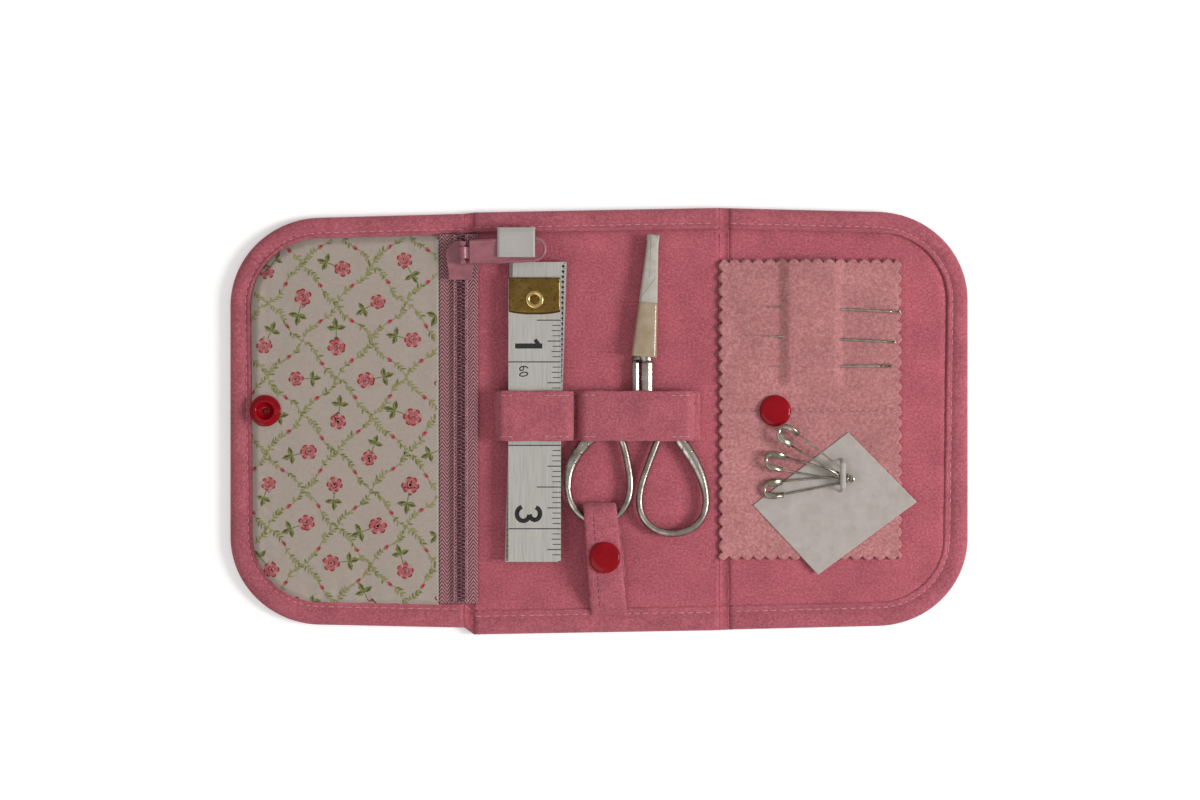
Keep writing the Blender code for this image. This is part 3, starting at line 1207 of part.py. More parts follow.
def main():
    """Build the kit."""
    clear_scene()
    materials = {
        "suede": make_material("pink suede", (0.55, 0.11, 0.16), 0.9),
        "binding": make_material("pink binding", (0.49, 0.10, 0.15), 0.9),
        "lining": make_material("pink lining", (0.55, 0.11, 0.16), 0.9),
        "wadding": make_material("wadding", (0.8, 0.78, 0.74), 1.0),
        "cotton": make_material("printed cotton", (0.68, 0.6, 0.55), 0.9),
        "zip": make_material("mauve tape", (0.42, 0.15, 0.22), 0.8),
        "coil": make_material("mauve coil", (0.32, 0.1, 0.16), 0.5),
        "slider": make_material("mauve enamel", (0.45, 0.15, 0.22), 0.4),
        "snap": make_material("red plastic", (0.45, 0.0, 0.01), 0.3),
        "tape": make_material("printed tape", (0.78, 0.78, 0.76), 0.5),
        "brass": make_material("brass", (0.35, 0.25, 0.07), 0.4, 1.0),
        "steel": make_material("nickel plate", (0.5, 0.45, 0.36), 0.3, 1.0),
        "sheath": make_material("paper sheath", (0.72, 0.68, 0.6), 0.6),
        "felt": make_material("pink felt", (0.68, 0.28, 0.29), 1.0),
        "paper": make_material("paper", (0.72, 0.68, 0.62), 0.8),
        "pin": make_material("pin wire", (0.45, 0.4, 0.3), 0.3, 1.0),
        "satin": make_material("white satin", (0.8, 0.78, 0.76), 0.5),
    }
    middle = make_pivot("middle_panel_axis", (0, 0, 0))
    left = make_pivot("left_flap_axis", (LEFT_HINGE_X, 0, LEFT_HINGE_Z), middle)
    right = make_pivot("right_flap_axis", (RIGHT_HINGE_X, 0, RIGHT_HINGE_Z), middle)
    slider = make_pivot("zip_slider_axis", (ZIP_X, SLIDER_Y[0], ZIP_TAPE_Z), left)
    tab = make_pivot("zip_pull_axis", (TAB_AXIS_X, BRIDGE_Y[0], TAB_AXIS_Z), slider)
    tape = make_pivot("tape_axis", (TAPE_X, 0, TAPE_Z), middle)
    scissors = make_pivot("scissors_axis", (*PIVOT, SCISSOR_Z), middle)
    opening = make_pivot("scissors_opening_axis", (*PIVOT, SCISSOR_Z), scissors)
    sheath = make_pivot("sheath_axis", (*SHEATH_BASE, SHEATH_BASE_Z), scissors)
    felt_top = FELT_Z + FELT
    needle_page = make_pivot("needle_page_axis", (RIGHT_SNAP_X, NEEDLE_HINGE_Y, felt_top), right)
    pin_page = make_pivot("pin_page_axis", (RIGHT_SNAP_X, PIN_HINGE_Y, felt_top), right)
    needles = [make_pivot("needle_%d_axis" % (i + 1), (*ends[1], felt_top), needle_page)
               for i, ends in enumerate(NEEDLE_ENDS)]
    arms = [make_pivot("safety_pin_%d_axis" % (i + 1), (*COIL_CENTRE, felt_top), pin_page) for i in range(3)]

    make_panel("middle", 0, materials, middle)
    make_panel("left_flap", -1, materials, left, (
        (left_snap_x(), SNAP_Y), CAP_DIMPLE, BACK_CAP_RADIUS + CAP_DIMPLE_MARGIN, CAP_DIMPLE_SLOPE))
    make_panel("right_flap", 1, materials, right, (
        (RIGHT_SNAP_X, SNAP_Y), STUD_DIMPLE, SNAP_RADIUS + STUD_DIMPLE_MARGIN, STUD_DIMPLE_SLOPE))
    make_bindings(materials, middle, left, right)
    make_folds(materials, middle)
    make_pocket(materials, left)
    make_zip(materials, left, slider, tab)
    make_closure(materials, left, right)
    make_strap(materials, middle, make_tape(materials, tape))
    make_scissors(materials, scissors, opening, sheath)
    make_retainer(materials, middle)
    make_felt(materials, right, needle_page, pin_page)
    make_needles(materials, needles)
    make_pins(materials, pin_page, arms)
    make_label(materials, middle)
    bpy.context.view_layer.update()
    print("left fold angle", round(degrees(left_fold_angle()), 3))


main()
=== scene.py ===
"""Looks of the fold-out sewing kit: padded pink suede cloth, a rose-print pocket and its tools."""

from math import atan2, cos, exp, hypot, pi, sin, sqrt
from random import Random

import bmesh
import bpy
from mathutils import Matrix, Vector, noise


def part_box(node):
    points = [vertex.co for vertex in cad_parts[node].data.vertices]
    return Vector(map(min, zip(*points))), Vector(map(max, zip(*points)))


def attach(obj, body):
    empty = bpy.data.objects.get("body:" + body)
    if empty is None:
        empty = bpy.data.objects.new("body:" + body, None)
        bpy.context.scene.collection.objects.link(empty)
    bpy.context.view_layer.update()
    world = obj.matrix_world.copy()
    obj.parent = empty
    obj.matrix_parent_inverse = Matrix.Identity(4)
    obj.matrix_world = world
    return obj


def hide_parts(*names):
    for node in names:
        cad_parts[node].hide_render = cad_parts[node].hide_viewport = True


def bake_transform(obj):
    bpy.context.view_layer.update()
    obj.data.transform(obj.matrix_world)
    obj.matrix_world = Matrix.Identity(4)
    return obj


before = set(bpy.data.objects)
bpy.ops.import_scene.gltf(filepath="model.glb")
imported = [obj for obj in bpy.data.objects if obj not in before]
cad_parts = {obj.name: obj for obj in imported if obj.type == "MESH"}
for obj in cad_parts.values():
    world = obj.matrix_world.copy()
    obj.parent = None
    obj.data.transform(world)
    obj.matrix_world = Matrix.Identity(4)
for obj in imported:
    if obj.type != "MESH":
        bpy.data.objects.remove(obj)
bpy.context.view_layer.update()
MM = 0.001

# Camera, floor and light. One broad soft lamp stands to the right, so each edge shades
# the cloth on its left.

CAMERA_AT = (0.3, 6.7, 950)
SENSOR_WIDTH = 36
LINING_DISTANCE = 945
SEEN_WIDTH = 366.6

camera = bpy.data.objects.new("camera", bpy.data.cameras.new("camera"))
bpy.context.scene.collection.objects.link(camera)
camera.location = tuple(value * MM for value in CAMERA_AT)
camera.data.sensor_width = SENSOR_WIDTH
camera.data.lens = SENSOR_WIDTH * LINING_DISTANCE / SEEN_WIDTH
camera.data.clip_start = 0.01
bpy.context.scene.camera = camera
bpy.context.scene.view_settings.view_transform = "Standard"


def principled(name, colour, roughness, metallic=0.0):
    """A new material with its node tree and Principled shader."""
    made = bpy.data.materials.new(name)
    made.use_nodes = True
    shader = made.node_tree.nodes["Principled BSDF"]
    shader.inputs["Base Color"].default_value = (*colour, 1)
    shader.inputs["Roughness"].default_value = roughness
    shader.inputs["Metallic"].default_value = metallic
    made.diffuse_color = (*colour, 1)
    return made, made.node_tree, shader


def mesh_piece(name, points, faces, materials, smooth=True):
    """Link a mesh object, in metres, with its points given in millimetres."""
    mesh = bpy.data.meshes.new(name)
    mesh.from_pydata([tuple(value * MM for value in point) for point in points], [], faces)
    mesh.update()
    for material in materials if isinstance(materials, (list, tuple)) else [materials]:
        mesh.materials.append(material)
    for face in mesh.polygons:
        face.use_smooth = smooth
    piece = bpy.data.objects.new(name, mesh)
    bpy.context.scene.collection.objects.link(piece)
    return piece


paper_floor, floor_tree, floor_shader = principled("white table", (0.88, 0.88, 0.88), 0.8)
floor_path = floor_tree.nodes.new("ShaderNodeLightPath")
floor_lift = floor_tree.nodes.new("ShaderNodeMath")
floor_lift.operation = "MULTIPLY"
floor_lift.inputs[1].default_value = 0.26
floor_rays = floor_tree.nodes.new("ShaderNodeMath")
floor_rays.operation = "MAXIMUM"
floor_seen = floor_tree.nodes.new("ShaderNodeMath")
floor_seen.operation = "MAXIMUM"
floor_shader.inputs["Emission Color"].default_value = (1, 1, 1, 1)
floor_tree.links.new(floor_path.outputs["Is Glossy Ray"], floor_rays.inputs[0])
floor_tree.links.new(floor_path.outputs["Is Transmission Ray"], floor_rays.inputs[1])
floor_tree.links.new(floor_path.outputs["Is Camera Ray"], floor_seen.inputs[0])
floor_tree.links.new(floor_rays.outputs[0], floor_seen.inputs[1])
floor_tree.links.new(floor_seen.outputs[0], floor_lift.inputs[0])
floor_tree.links.new(floor_lift.outputs[0], floor_shader.inputs["Emission Strength"])
floor = mesh_piece("table_top", [(-3000, -3000, -0.05), (3000, -3000, -0.05), (3000, 3000, -0.05),
                                 (-3000, 3000, -0.05)], [(0, 1, 2, 3)], paper_floor, smooth=False)

world = bpy.data.worlds.new("studio")
world.use_nodes = True
world.node_tree.nodes["Background"].inputs["Color"].default_value = (1.0, 0.985, 0.97, 1)
world.node_tree.nodes["Background"].inputs["Strength"].default_value = 0.45
bpy.context.scene.world = world


def lamp(name, place, target, size, power):
    """A soft square lamp aimed at a point, with places in millimetres."""
    light = bpy.data.lights.new(name, "AREA")
    light.size = size * MM
    light.energy = power
    holder = bpy.data.objects.new(name, light)
    bpy.context.scene.collection.objects.link(holder)
    holder.location = Vector(place) * MM
    holder.rotation_euler = (Vector(target) - Vector(place)).to_track_quat("-Z", "Y").to_euler()


lamp("key_lamp", (1100, -80, 760), (0, 0, 0), 420, 13.4)
lamp("fill_lamp", (-500, -600, 1100), (0, 0, 0), 900, 3.0)

# Padded panels.
# Each panel is a suede cover and a suede lining with wadding between them, sewn together at the rim.
# The linings pucker where they run under the binding, and each flap has a pressed dimple for its snap.

EDGE_X = 113.0
LEFT_HINGE_X = -39.8
RIGHT_HINGE_X = 38.26
FOLD_HALF = 1.5
CORNER_X = 28.0
CORNER_Y = 27.0
TOP_LINES = {-1: (62.6, 63.8), 0: (64.2, 65.6), 1: (64.4, 65.5)}
BOTTOM_LINES = {-1: (-62.2, -63.1), 0: (-65.2, -63.9), 1: (-62.6, -63.7)}
FOLD_X = {-1: LEFT_HINGE_X - FOLD_HALF, 1: RIGHT_HINGE_X + FOLD_HALF}
MIDDLE_X = (LEFT_HINGE_X + FOLD_HALF, RIGHT_HINGE_X - FOLD_HALF)


def ease(value):
    """A smooth step from 0 to 1."""
    value = min(max(value, 0.0), 1.0)
    return value * value * (3 - 2 * value)


def wave(x, y, size, seed=0.0):
    """Smooth noise from about -1 to 1, with bumps of a given size."""
    return noise.noise(Vector((x / size, y / size, seed)))


def rim_lines(side, x, inset=0.0):
    """Top and bottom of a panel's outline at x."""
    top, bottom = TOP_LINES[side], BOTTOM_LINES[side]
    if side == 0:
        share = (x - MIDDLE_X[0]) / (MIDDLE_X[1] - MIDDLE_X[0])
        return (top[0] + (top[1] - top[0]) * share - inset,
                bottom[0] + (bottom[1] - bottom[0]) * share + inset)
    centre = side * (EDGE_X - CORNER_X)
    out = (x - centre) * side
    if out <= 0:
        share = out / ((FOLD_X[side] - centre) * side)
        return (top[0] + (top[1] - top[0]) * share - inset,
                bottom[0] + (bottom[1] - bottom[0]) * share + inset)
    drop = sqrt(max(0.0, 1 - (out / (CORNER_X - inset)) ** 2)) * (CORNER_Y - inset)
    return top[0] - CORNER_Y + drop, bottom[0] + CORNER_Y - drop


def rim_distance(side, x, y):
    """How far a point lies inside a panel's bound edge."""
    top, bottom = rim_lines(side, x)
    if side == 0:
        return min(top - y, y - bottom)
    centre = side * (EDGE_X - CORNER_X)
    out = (x - centre) * side
    if out <= 0:
        return min(top - y, y - bottom)
    high = TOP_LINES[side][0] - CORNER_Y
    low = BOTTOM_LINES[side][0] + CORNER_Y
    beyond = y - high if y > high else (low - y if y < low else 0.0)
    if beyond:
        return (1 - hypot(out / CORNER_X, beyond / CORNER_Y)) * (CORNER_X + CORNER_Y) / 2
    return CORNER_X - out


def panel_columns(side, inset, count, stop_x=None):
    """X of each column of a panel's grid, closer together round the corners."""
    if side == 0:
        return [MIDDLE_X[0] + (MIDDLE_X[1] - MIDDLE_X[0]) * step / count for step in range(count + 1)]
    start = FOLD_X[side] if stop_x is None else stop_x
    centre = side * (EDGE_X - CORNER_X)
    flat = [start + (centre - start) * step / (count // 2) for step in range(count // 2)]
    turn = count - count // 2
    return flat + [centre + side * (CORNER_X - inset) * sin(pi / 2 * step / turn * 0.999)
                   for step in range(turn + 1)]


def slab(side, inset, count, rows, top_height, bottom_height, stop_x=None):
    """Points and faces of a closed cloth slab between two height functions of x, y and rim distance."""
    columns = panel_columns(side, inset, count, stop_x)
    points = []
    for height in (top_height, bottom_height):
        for x in columns:
            high, low = rim_lines(side, x, inset)
            for row in range(rows + 1):
                y = low + (high - low) * (0.5 - 0.5 * cos(pi * row / rows)
                                          * (1 - 0.35 * sin(pi * row / rows)))
                points.append((x, y, height(x, y, rim_distance(side, x, y))))
    faces = []
    wide = len(columns)
    total = wide * (rows + 1)
    for column in range(wide - 1):
        for row in range(rows):
            a = column * (rows + 1) + row
            quad = (a, a + rows + 1, a + rows + 2, a + 1)
            faces.append(quad)
            faces.append(tuple(index + total for index in reversed(quad)))
    ring = [column * (rows + 1) for column in range(wide)]
    ring += [(wide - 1) * (rows + 1) + row for row in range(1, rows + 1)]
    ring += [column * (rows + 1) + rows for column in range(wide - 2, -1, -1)]
    ring += [row for row in range(rows - 1, 0, -1)]
    for a, b in zip(ring, ring[1:] + ring[:1]):
        faces.append((b, a, a + total, b + total))
    return points, faces


def value_group(name, inputs, outputs):
    """A shader node group with named value inputs and outputs."""
    group = bpy.data.node_groups.new(name, "ShaderNodeTree")
    for label, default in inputs:
        socket = group.interface.new_socket(name=label, in_out="INPUT", socket_type="NodeSocketFloat")
        socket.default_value = default
    for label in outputs:
        group.interface.new_socket(name=label, in_out="OUTPUT", socket_type="NodeSocketFloat")
    enter = group.nodes.new("NodeGroupInput")
    leave = group.nodes.new("NodeGroupOutput")
    place = group.nodes.new("ShaderNodeTexCoord")
    return group, enter, leave, place


def math_node(tree, operation, first, second=None):
    """A math node fed by sockets or plain numbers, giving its output."""
    node = tree.nodes.new("ShaderNodeMath")
    node.operation = operation
    for socket, value in zip(node.inputs, (first, second)):
        if value is None:
            continue
        if isinstance(value, (int, float)):
            socket.default_value = value
        else:
            tree.links.new(value, socket)
    return node.outputs[0]


def noise_node(tree, place, scale, detail=3.0, roughness=0.55):
    """A noise texture's value at a place, with its scale as a socket or number."""
    node = tree.nodes.new("ShaderNodeTexNoise")
    node.inputs["Detail"].default_value = detail
    node.inputs["Roughness"].default_value = roughness
    tree.links.new(place, node.inputs["Vector"])
    if isinstance(scale, (int, float)):
        node.inputs["Scale"].default_value = scale
    else:
        tree.links.new(scale, node.inputs["Scale"])
    return node.outputs["Fac"]


nap_group, nap_in, nap_out, nap_place = value_group(
    "brushed nap", (("Fibre scale", 2600.0), ("Patch scale", 160.0)), ("Mottle", "Fleck", "Height"))
fibre = noise_node(nap_group, nap_place.outputs["Object"], nap_in.outputs["Fibre scale"], 4.0, 0.7)
patch = noise_node(nap_group, nap_place.outputs["Object"], nap_in.outputs["Patch scale"], 3.0, 0.6)
half_fibre = math_node(nap_group, "MULTIPLY", nap_in.outputs["Fibre scale"], 0.42)
clump = noise_node(nap_group, nap_place.outputs["Object"], half_fibre, 2.0, 0.6)
nap_group.links.new(patch, nap_out.inputs["Mottle"])
nap_group.links.new(math_node(nap_group, "ADD", math_node(nap_group, "MULTIPLY", fibre, 0.45),
                              math_node(nap_group, "MULTIPLY", clump, 0.55)), nap_out.inputs["Fleck"])
nap_group.links.new(math_node(nap_group, "ADD", math_node(nap_group, "MULTIPLY", clump, 0.6),
                              math_node(nap_group, "MULTIPLY", fibre, 0.4)), nap_out.inputs["Height"])


def ramp(tree, value, stops):
    """A colour ramp from a value, with its stops as (position, colour)."""
    node = tree.nodes.new("ShaderNodeValToRGB")
    while len(node.color_ramp.elements) < len(stops):
        node.color_ramp.elements.new(0.5)
    for element, (position, colour) in zip(node.color_ramp.elements, stops):
        element.position = position
        element.color = (*colour, 1)
    tree.links.new(value, node.inputs["Fac"])
    return node.outputs["Color"]


def blend_colour(tree, kind, share, first, second):
    """Mix two colours, each a socket or plain colour, by a share."""
    node = tree.nodes.new("ShaderNodeMix")
    node.data_type = "RGBA"
    node.blend_type = kind
    sockets = [s for s in node.inputs if s.type == "RGBA"]
    factor = node.inputs[0]
    for socket, value in ((factor, share), (sockets[0], first), (sockets[1], second)):
        if isinstance(value, (int, float)):
            socket.default_value = value
        elif isinstance(value, tuple):
            socket.default_value = (*value, 1)
        else:
            tree.links.new(value, socket)
    return [s for s in node.outputs if s.type == "RGBA"][0]


def bump(tree, shader, height, distance, strength=1.0):
    """Feed a height to the shader's normal through a bump node."""
    node = tree.nodes.new("ShaderNodeBump")
    node.inputs["Strength"].default_value = strength
    node.inputs["Distance"].default_value = distance * MM
    tree.links.new(height, node.inputs["Height"])
    tree.links.new(node.outputs["Normal"], shader.inputs["Normal"])


def brushed_cloth(name, dark, plain, light, fibre_scale, patch_scale, lift, sheen):
    """Suede or felt: flecked fibres over soft patches, with a pale sheen."""
    made, tree, shader = principled(name, plain, 0.95)
    nap = tree.nodes.new("ShaderNodeGroup")
    nap.node_tree = nap_group
    nap.inputs["Fibre scale"].default_value = fibre_scale
    nap.inputs["Patch scale"].default_value = patch_scale
    flecked = ramp(tree, nap.outputs["Fleck"], ((0.36, dark), (0.5, plain), (0.66, light)))
    patched = ramp(tree, nap.outputs["Mottle"], ((0.3, (0.86, 0.86, 0.86)), (0.7, (1.1, 1.1, 1.1))))
    colour = blend_colour(tree, "MULTIPLY", 1.0, flecked, patched)
    tree.links.new(colour, shader.inputs["Base Color"])
    shader.inputs["Sheen Weight"].default_value = sheen
    shader.inputs["Sheen Roughness"].default_value = 0.45
    shader.inputs["Sheen Tint"].default_value = (1.0, 0.62, 0.68, 1)
    shader.inputs["Specular IOR Level"].default_value = 0.15
    bump(tree, shader, nap.outputs["Height"], lift)
    return made


suede = brushed_cloth("pink suede", (0.33, 0.068, 0.092), (0.42, 0.10, 0.13), (0.53, 0.16, 0.195), 3400, 90,
                      0.12, 0.35)
suede_rim = brushed_cloth("suede binding", (0.30, 0.065, 0.087), (0.39, 0.10, 0.128), (0.50, 0.16, 0.19),
                          3600, 110, 0.10, 0.35)


def lining_height(seed):
    """Top of a lining: low under the binding, puckered beside it, softly uneven inside."""
    def height(x, y, d):
        up = 1.9 + 1.68 * ease((d - 4.4) / 4.4)
        pucker = exp(-(((d - 8.5) / 5.0) ** 2)) * wave(x * 1.6, y * 1.6, 8.0, seed)
        return min(up - 0.32 * abs(pucker) + 0.12 * wave(x, y, 17.0, seed + 3) * ease((d - 5) / 5), 3.68)
    return height


def cover_height(dimple=None):
    """Underside of a cover: flat on the table, turned up at the rim and pressed in at the snap."""
    def height(x, y, d):
        low = 0.95 * (1 - ease((d - 1.0) / 5.5))
        if dimple:
            centre_x, centre_y, depth, floor_radius, rim_radius = dimple
            reach = hypot(x - centre_x, y - centre_y)
            low = max(low, depth * (1 - ease((reach - floor_radius) / (rim_radius - floor_radius))))
        return low
    return height


LEFT_SNAP = (-101.9, 3.4)
RIGHT_SNAP = (53.8, 3.4)
for name, side, body, dimple, seed in (
    ("middle", 0, "middle_panel", None, 1.0),
    ("left_flap", -1, "left_flap", (*LEFT_SNAP, 1.5, 3.9, 5.3), 5.0),
    ("right_flap", 1, "right_flap", (*RIGHT_SNAP, 2.5, 5.7, 8.4), 9.0),
):
    points, faces = slab(side, 1.0, 72, 120, lining_height(seed), cover_height(dimple))
    panel = mesh_piece(name + "_padding", points, faces, suede)
    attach(panel, body)
    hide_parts(name + "_outer_cover", name + "_wadding", name + "_lining")

# Binding.
# A bias-cut strip of the same suede is folded round the rim and sewn through with one row of thread.
# It is plump at the outside, sinks in at the stitches and ends in a narrow rolled lip.

BINDING_OUTSIDE = ((6.1, 0.05), (4.6, 0.0), (2.2, 0.0), (0.9, 0.18), (0.2, 0.8), (0.0, 1.7), (0.15, 2.6),
                   (0.7, 3.25), (1.7, 3.62), (2.8, 3.72), (3.8, 3.58), (4.45, 3.22), (4.75, 3.08),
                   (5.05, 3.25), (5.45, 3.56), (5.85, 3.62), (6.2, 3.42), (6.35, 3.0))
BINDING_INSIDE = ((6.1, 2.55), (4.0, 2.6), (1.4, 2.6), (0.95, 2.0), (0.95, 1.2), (1.4, 0.75), (4.0, 0.7),
                  (6.0, 0.7))
STITCH_INSET = 4.75
STITCH_PITCH = 2.7


def rim_path(side, spacing=1.6):
    """Places along a panel's bound edge, each with the direction that leads into the panel."""
    places = []
    if side == 0:
        return places
    centre = side * (EDGE_X - CORNER_X)
    top, bottom = TOP_LINES[side], BOTTOM_LINES[side]
    fold = FOLD_X[side]
    run = abs(centre - fold)
    steps = int(run / spacing)
    for step in range(steps):
        share = 1 - step / steps
        x = centre + (fold - centre) * share
        places.append((x, top[0] + (top[1] - top[0]) * share, 0.0, -1.0, 1.0))
    turns = int(CORNER_X * pi / 2 / spacing)
    for step in range(turns):
        angle = pi / 2 * (1 - step / turns)
        places.append((centre + side * CORNER_X * cos(angle), top[0] - CORNER_Y + CORNER_Y * sin(angle),
                       -side * cos(angle), -sin(angle), 1.0))
    high, low = top[0] - CORNER_Y, bottom[0] + CORNER_Y
    steps = int((high - low) / spacing)
    for step in range(steps):
        places.append((side * EDGE_X, high + (low - high) * step / steps, -side, 0.0,
                       1.0 + 0.2 * step / steps))
    for step in range(turns + 1):
        angle = pi / 2 * step / turns
        places.append((centre + side * CORNER_X * cos(angle), bottom[0] + CORNER_Y - CORNER_Y * sin(angle),
                       -side * cos(angle), sin(angle), 1.2))
    steps = int(run / spacing)
    for step in range(1, steps + 1):
        share = step / steps
        x = centre + (fold - centre) * share
        places.append((x, bottom[0] + (bottom[1] - bottom[0]) * share, 0.0, 1.0, 1.2))
    return places


def middle_rim(at_top, spacing=1.6):
    """Places along the top or bottom edge of the middle panel."""
    lines = TOP_LINES[0] if at_top else BOTTOM_LINES[0]
    steps = int((MIDDLE_X[1] - MIDDLE_X[0]) / spacing)
    places = []
    for step in range(steps + 1):
        share = step / steps
        x = MIDDLE_X[0] + (MIDDLE_X[1] - MIDDLE_X[0]) * share
        places.append((x, lines[0] + (lines[1] - lines[0]) * share, 0.0, -1.0 if at_top else 1.0,
                       1.0 if at_top else 1.2))
    return places


def binding_ring(place, travelled):
    """Cross-section of the binding at one place on the rim."""
    x, y, in_x, in_y, share = place
    ring = []
    puff = 0.10 * wave(travelled, 0, 5.0, 7.0) + 0.07 * cos(2 * pi * travelled / STITCH_PITCH)
    for inset, z in BINDING_OUTSIDE:
        lift = puff if z > 2.9 and inset < 6.3 else 0.0
        if abs(inset - STITCH_INSET) < 0.4:
            lift = 0.13 * cos(2 * pi * travelled / STITCH_PITCH)
        ring.append((x + in_x * inset * share, y + in_y * inset * share, z + lift * 0.9))
    for inset, z in BINDING_INSIDE:
        ring.append((x + in_x * inset * share, y + in_y * inset * share, z))
    return ring


def swept(rings, closed_path=False):
    """Points and faces through rings of equal length, capped at open ends."""
    size = len(rings[0])
    points = [point for ring in rings for point in ring]
    faces = []
    for index in range(len(rings) if closed_path else len(rings) - 1):
        after = (index + 1) % len(rings)
        for side in range(size):
            other = (side + 1) % size
            faces.append((index * size + side, index * size + other, after * size + other,
                          after * size + side))
    if not closed_path:
        faces.append(tuple(reversed(range(size))))
        faces.append(tuple((len(rings) - 1) * size + side for side in range(size)))
    return points, faces


def outward(piece):
    """Turn a mesh's faces outward."""
    bm = bmesh.new()
    bm.from_mesh(piece.data)
    bmesh.ops.recalc_face_normals(bm, faces=bm.faces)
    bm.to_mesh(piece.data)
    bm.free()
    return piece


def travel(places):
    """Distance travelled at each place along a path."""
    total, out = 0.0, [0.0]
    for a, b in zip(places, places[1:]):
        total += hypot(b[0] - a[0], b[1] - a[1])
        out.append(total)
    return out


def thread_run(knots, radius=0.17, droop=0.12, sides=6):
    """Points and faces of one short stitch that dips into the cloth at both ends."""
    start, end, up = Vector(knots[0]), Vector(knots[1]), Vector((0, 0, 1))
    along = (end - start).normalized()
    across = along.cross(up).normalized()
    rings = []
    for share, size, sink in ((0.0, 0.35, 1.0), (0.12, 0.85, 0.35), (0.5, 1.0, 0.0), (0.88, 0.85, 0.35),
                              (1.0, 0.35, 1.0)):
        middle = start.lerp(end, share) - up * droop * sink
        rings.append([tuple(middle + across * radius * size * cos(2 * pi * s / sides)
                            + up * radius * size * sin(2 * pi * s / sides)) for s in range(sides)])
    return swept(rings)


def gather(parts):
    """Join lists of points and faces into one."""
    points, faces = [], []
    for part_points, part_faces in parts:
        offset = len(points)
        points += part_points
        faces += [tuple(index + offset for index in face) for face in part_faces]
    return points, faces


def spun_thread(name, colour):
    """Sewing thread with its twist, faintly glossy."""
    made, tree, shader = principled(name, colour, 0.55)
    place = tree.nodes.new("ShaderNodeTexCoord")
    twist = noise_node(tree, place.outputs["Object"], 5200, 2.0)
    tint = ramp(tree, twist,
                ((0.35, tuple(c * 0.7 for c in colour)), (0.65, tuple(min(c * 1.15, 1) for c in colour))))
    tree.links.new(tint, shader.inputs["Base Color"])
    shader.inputs["Sheen Weight"].default_value = 0.3
    bump(tree, shader, twist, 0.05)
    return made


rim_thread = spun_thread("rim thread", (0.60, 0.24, 0.28))
for name, places, body in (
    ("left_flap_binding", rim_path(-1), "left_flap"),
    ("right_flap_binding", rim_path(1), "right_flap"),
    ("middle_binding_top", middle_rim(True), "middle_panel"),
    ("middle_binding_bottom", middle_rim(False), "middle_panel"),
):
    lengths = travel(places)
    strip = mesh_piece(name.replace("binding", "bias_strip"),
                       *swept([binding_ring(place, run) for place, run in zip(places, lengths)]), suede_rim)
    outward(strip)
    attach(strip, body)
    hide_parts(name)
    stitches = []
    mark = STITCH_PITCH / 2
    while mark < lengths[-1] - 1.5:
        index = max(i for i, run in enumerate(lengths) if run <= mark)
        spots = []
        for reach in (mark - 0.95, mark + 0.95):
            i = min(max(j for j, run in enumerate(lengths) if run <= max(reach, 0)), len(places) - 2)
            share = (reach - lengths[i]) / (lengths[i + 1] - lengths[i])
            a, b = places[i], places[i + 1]
            here = [a[k] + (b[k] - a[k]) * share for k in range(5)]
            spots.append((here[0] + here[2] * STITCH_INSET * here[4],
                          here[1] + here[3] * STITCH_INSET * here[4], 3.12))
        stitches.append(thread_run(spots, 0.16))
        mark += STITCH_PITCH
    seam = mesh_piece(name + "_stitches", *gather(stitches), rim_thread)
    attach(seam, body)

# Folds.
# Between two panels the case is only cloth, creased where it bends.
# Each crease joins the panels' linings, covers and binding.


def crease_ring(x, hinge_x, side):
    """Cross-section of the crease at x, over the whole depth of the case."""
    share = (x - (hinge_x - FOLD_HALF)) / (2 * FOLD_HALF)
    flap_x, middle_x = (FOLD_X[side], MIDDLE_X[0] if side < 0 else MIDDLE_X[1])
    toward = share if side < 0 else 1 - share
    flap = rim_lines(side, flap_x)
    middle = rim_lines(0, middle_x)
    top = flap[0] + (middle[0] - flap[0]) * toward
    bottom = flap[1] + (middle[1] - flap[1]) * toward
    dip = sin(pi * share)
    outside = [(inset, z) for inset, z in BINDING_OUTSIDE if z > 0.9]
    ring = []
    for inset, z in outside:
        ring.append((x, bottom + inset * 1.2, z - 0.4 * dip * (z > 2)))
    steps = 60
    low, high = bottom + 7.7, top - 6.5
    for step in range(steps + 1):
        y = low + (high - low) * step / steps
        d = min(y - bottom, top - y)
        z = 1.9 + 1.68 * ease((d - 4.4) / 4.4)
        ring.append((x, y, z - dip * (0.55 + 0.15 * wave(y, x, 6.0, 2.0))))
    for inset, z in reversed(outside):
        ring.append((x, top - inset, z - 0.4 * dip * (z > 2)))
    for inset, z in reversed([(i, z) for i, z in BINDING_OUTSIDE if z <= 0.9]):
        ring.append((x, top - inset, z))
    for inset, z in [(i, z) for i, z in BINDING_OUTSIDE if z <= 0.9]:
        ring.append((x, bottom + inset * 1.2, z))
    return ring


for name, hinge_x, side, bodies in (
    ("left_crease", LEFT_HINGE_X, -1, ("left_flap", "middle_panel")),
    ("right_crease", RIGHT_HINGE_X, 1, ("middle_panel", "right_flap")),
):
    rings = [crease_ring(hinge_x - FOLD_HALF + 2 * FOLD_HALF * step / 10, hinge_x, side)
             for step in range(11)]
    crease = outward(mesh_piece(name, *swept(rings), suede))
    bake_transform(crease)
    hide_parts("left_fold_cloth" if side < 0 else "right_fold_cloth")

# Zip pocket.
# The left flap's pocket front is printed cotton, held in the binding on three sides and hemmed along the zip.
# Its print is a common one of climbing roses: leafy vines that cross in diamonds, with buds and small sprays.

POCKET_STOP = -49.0


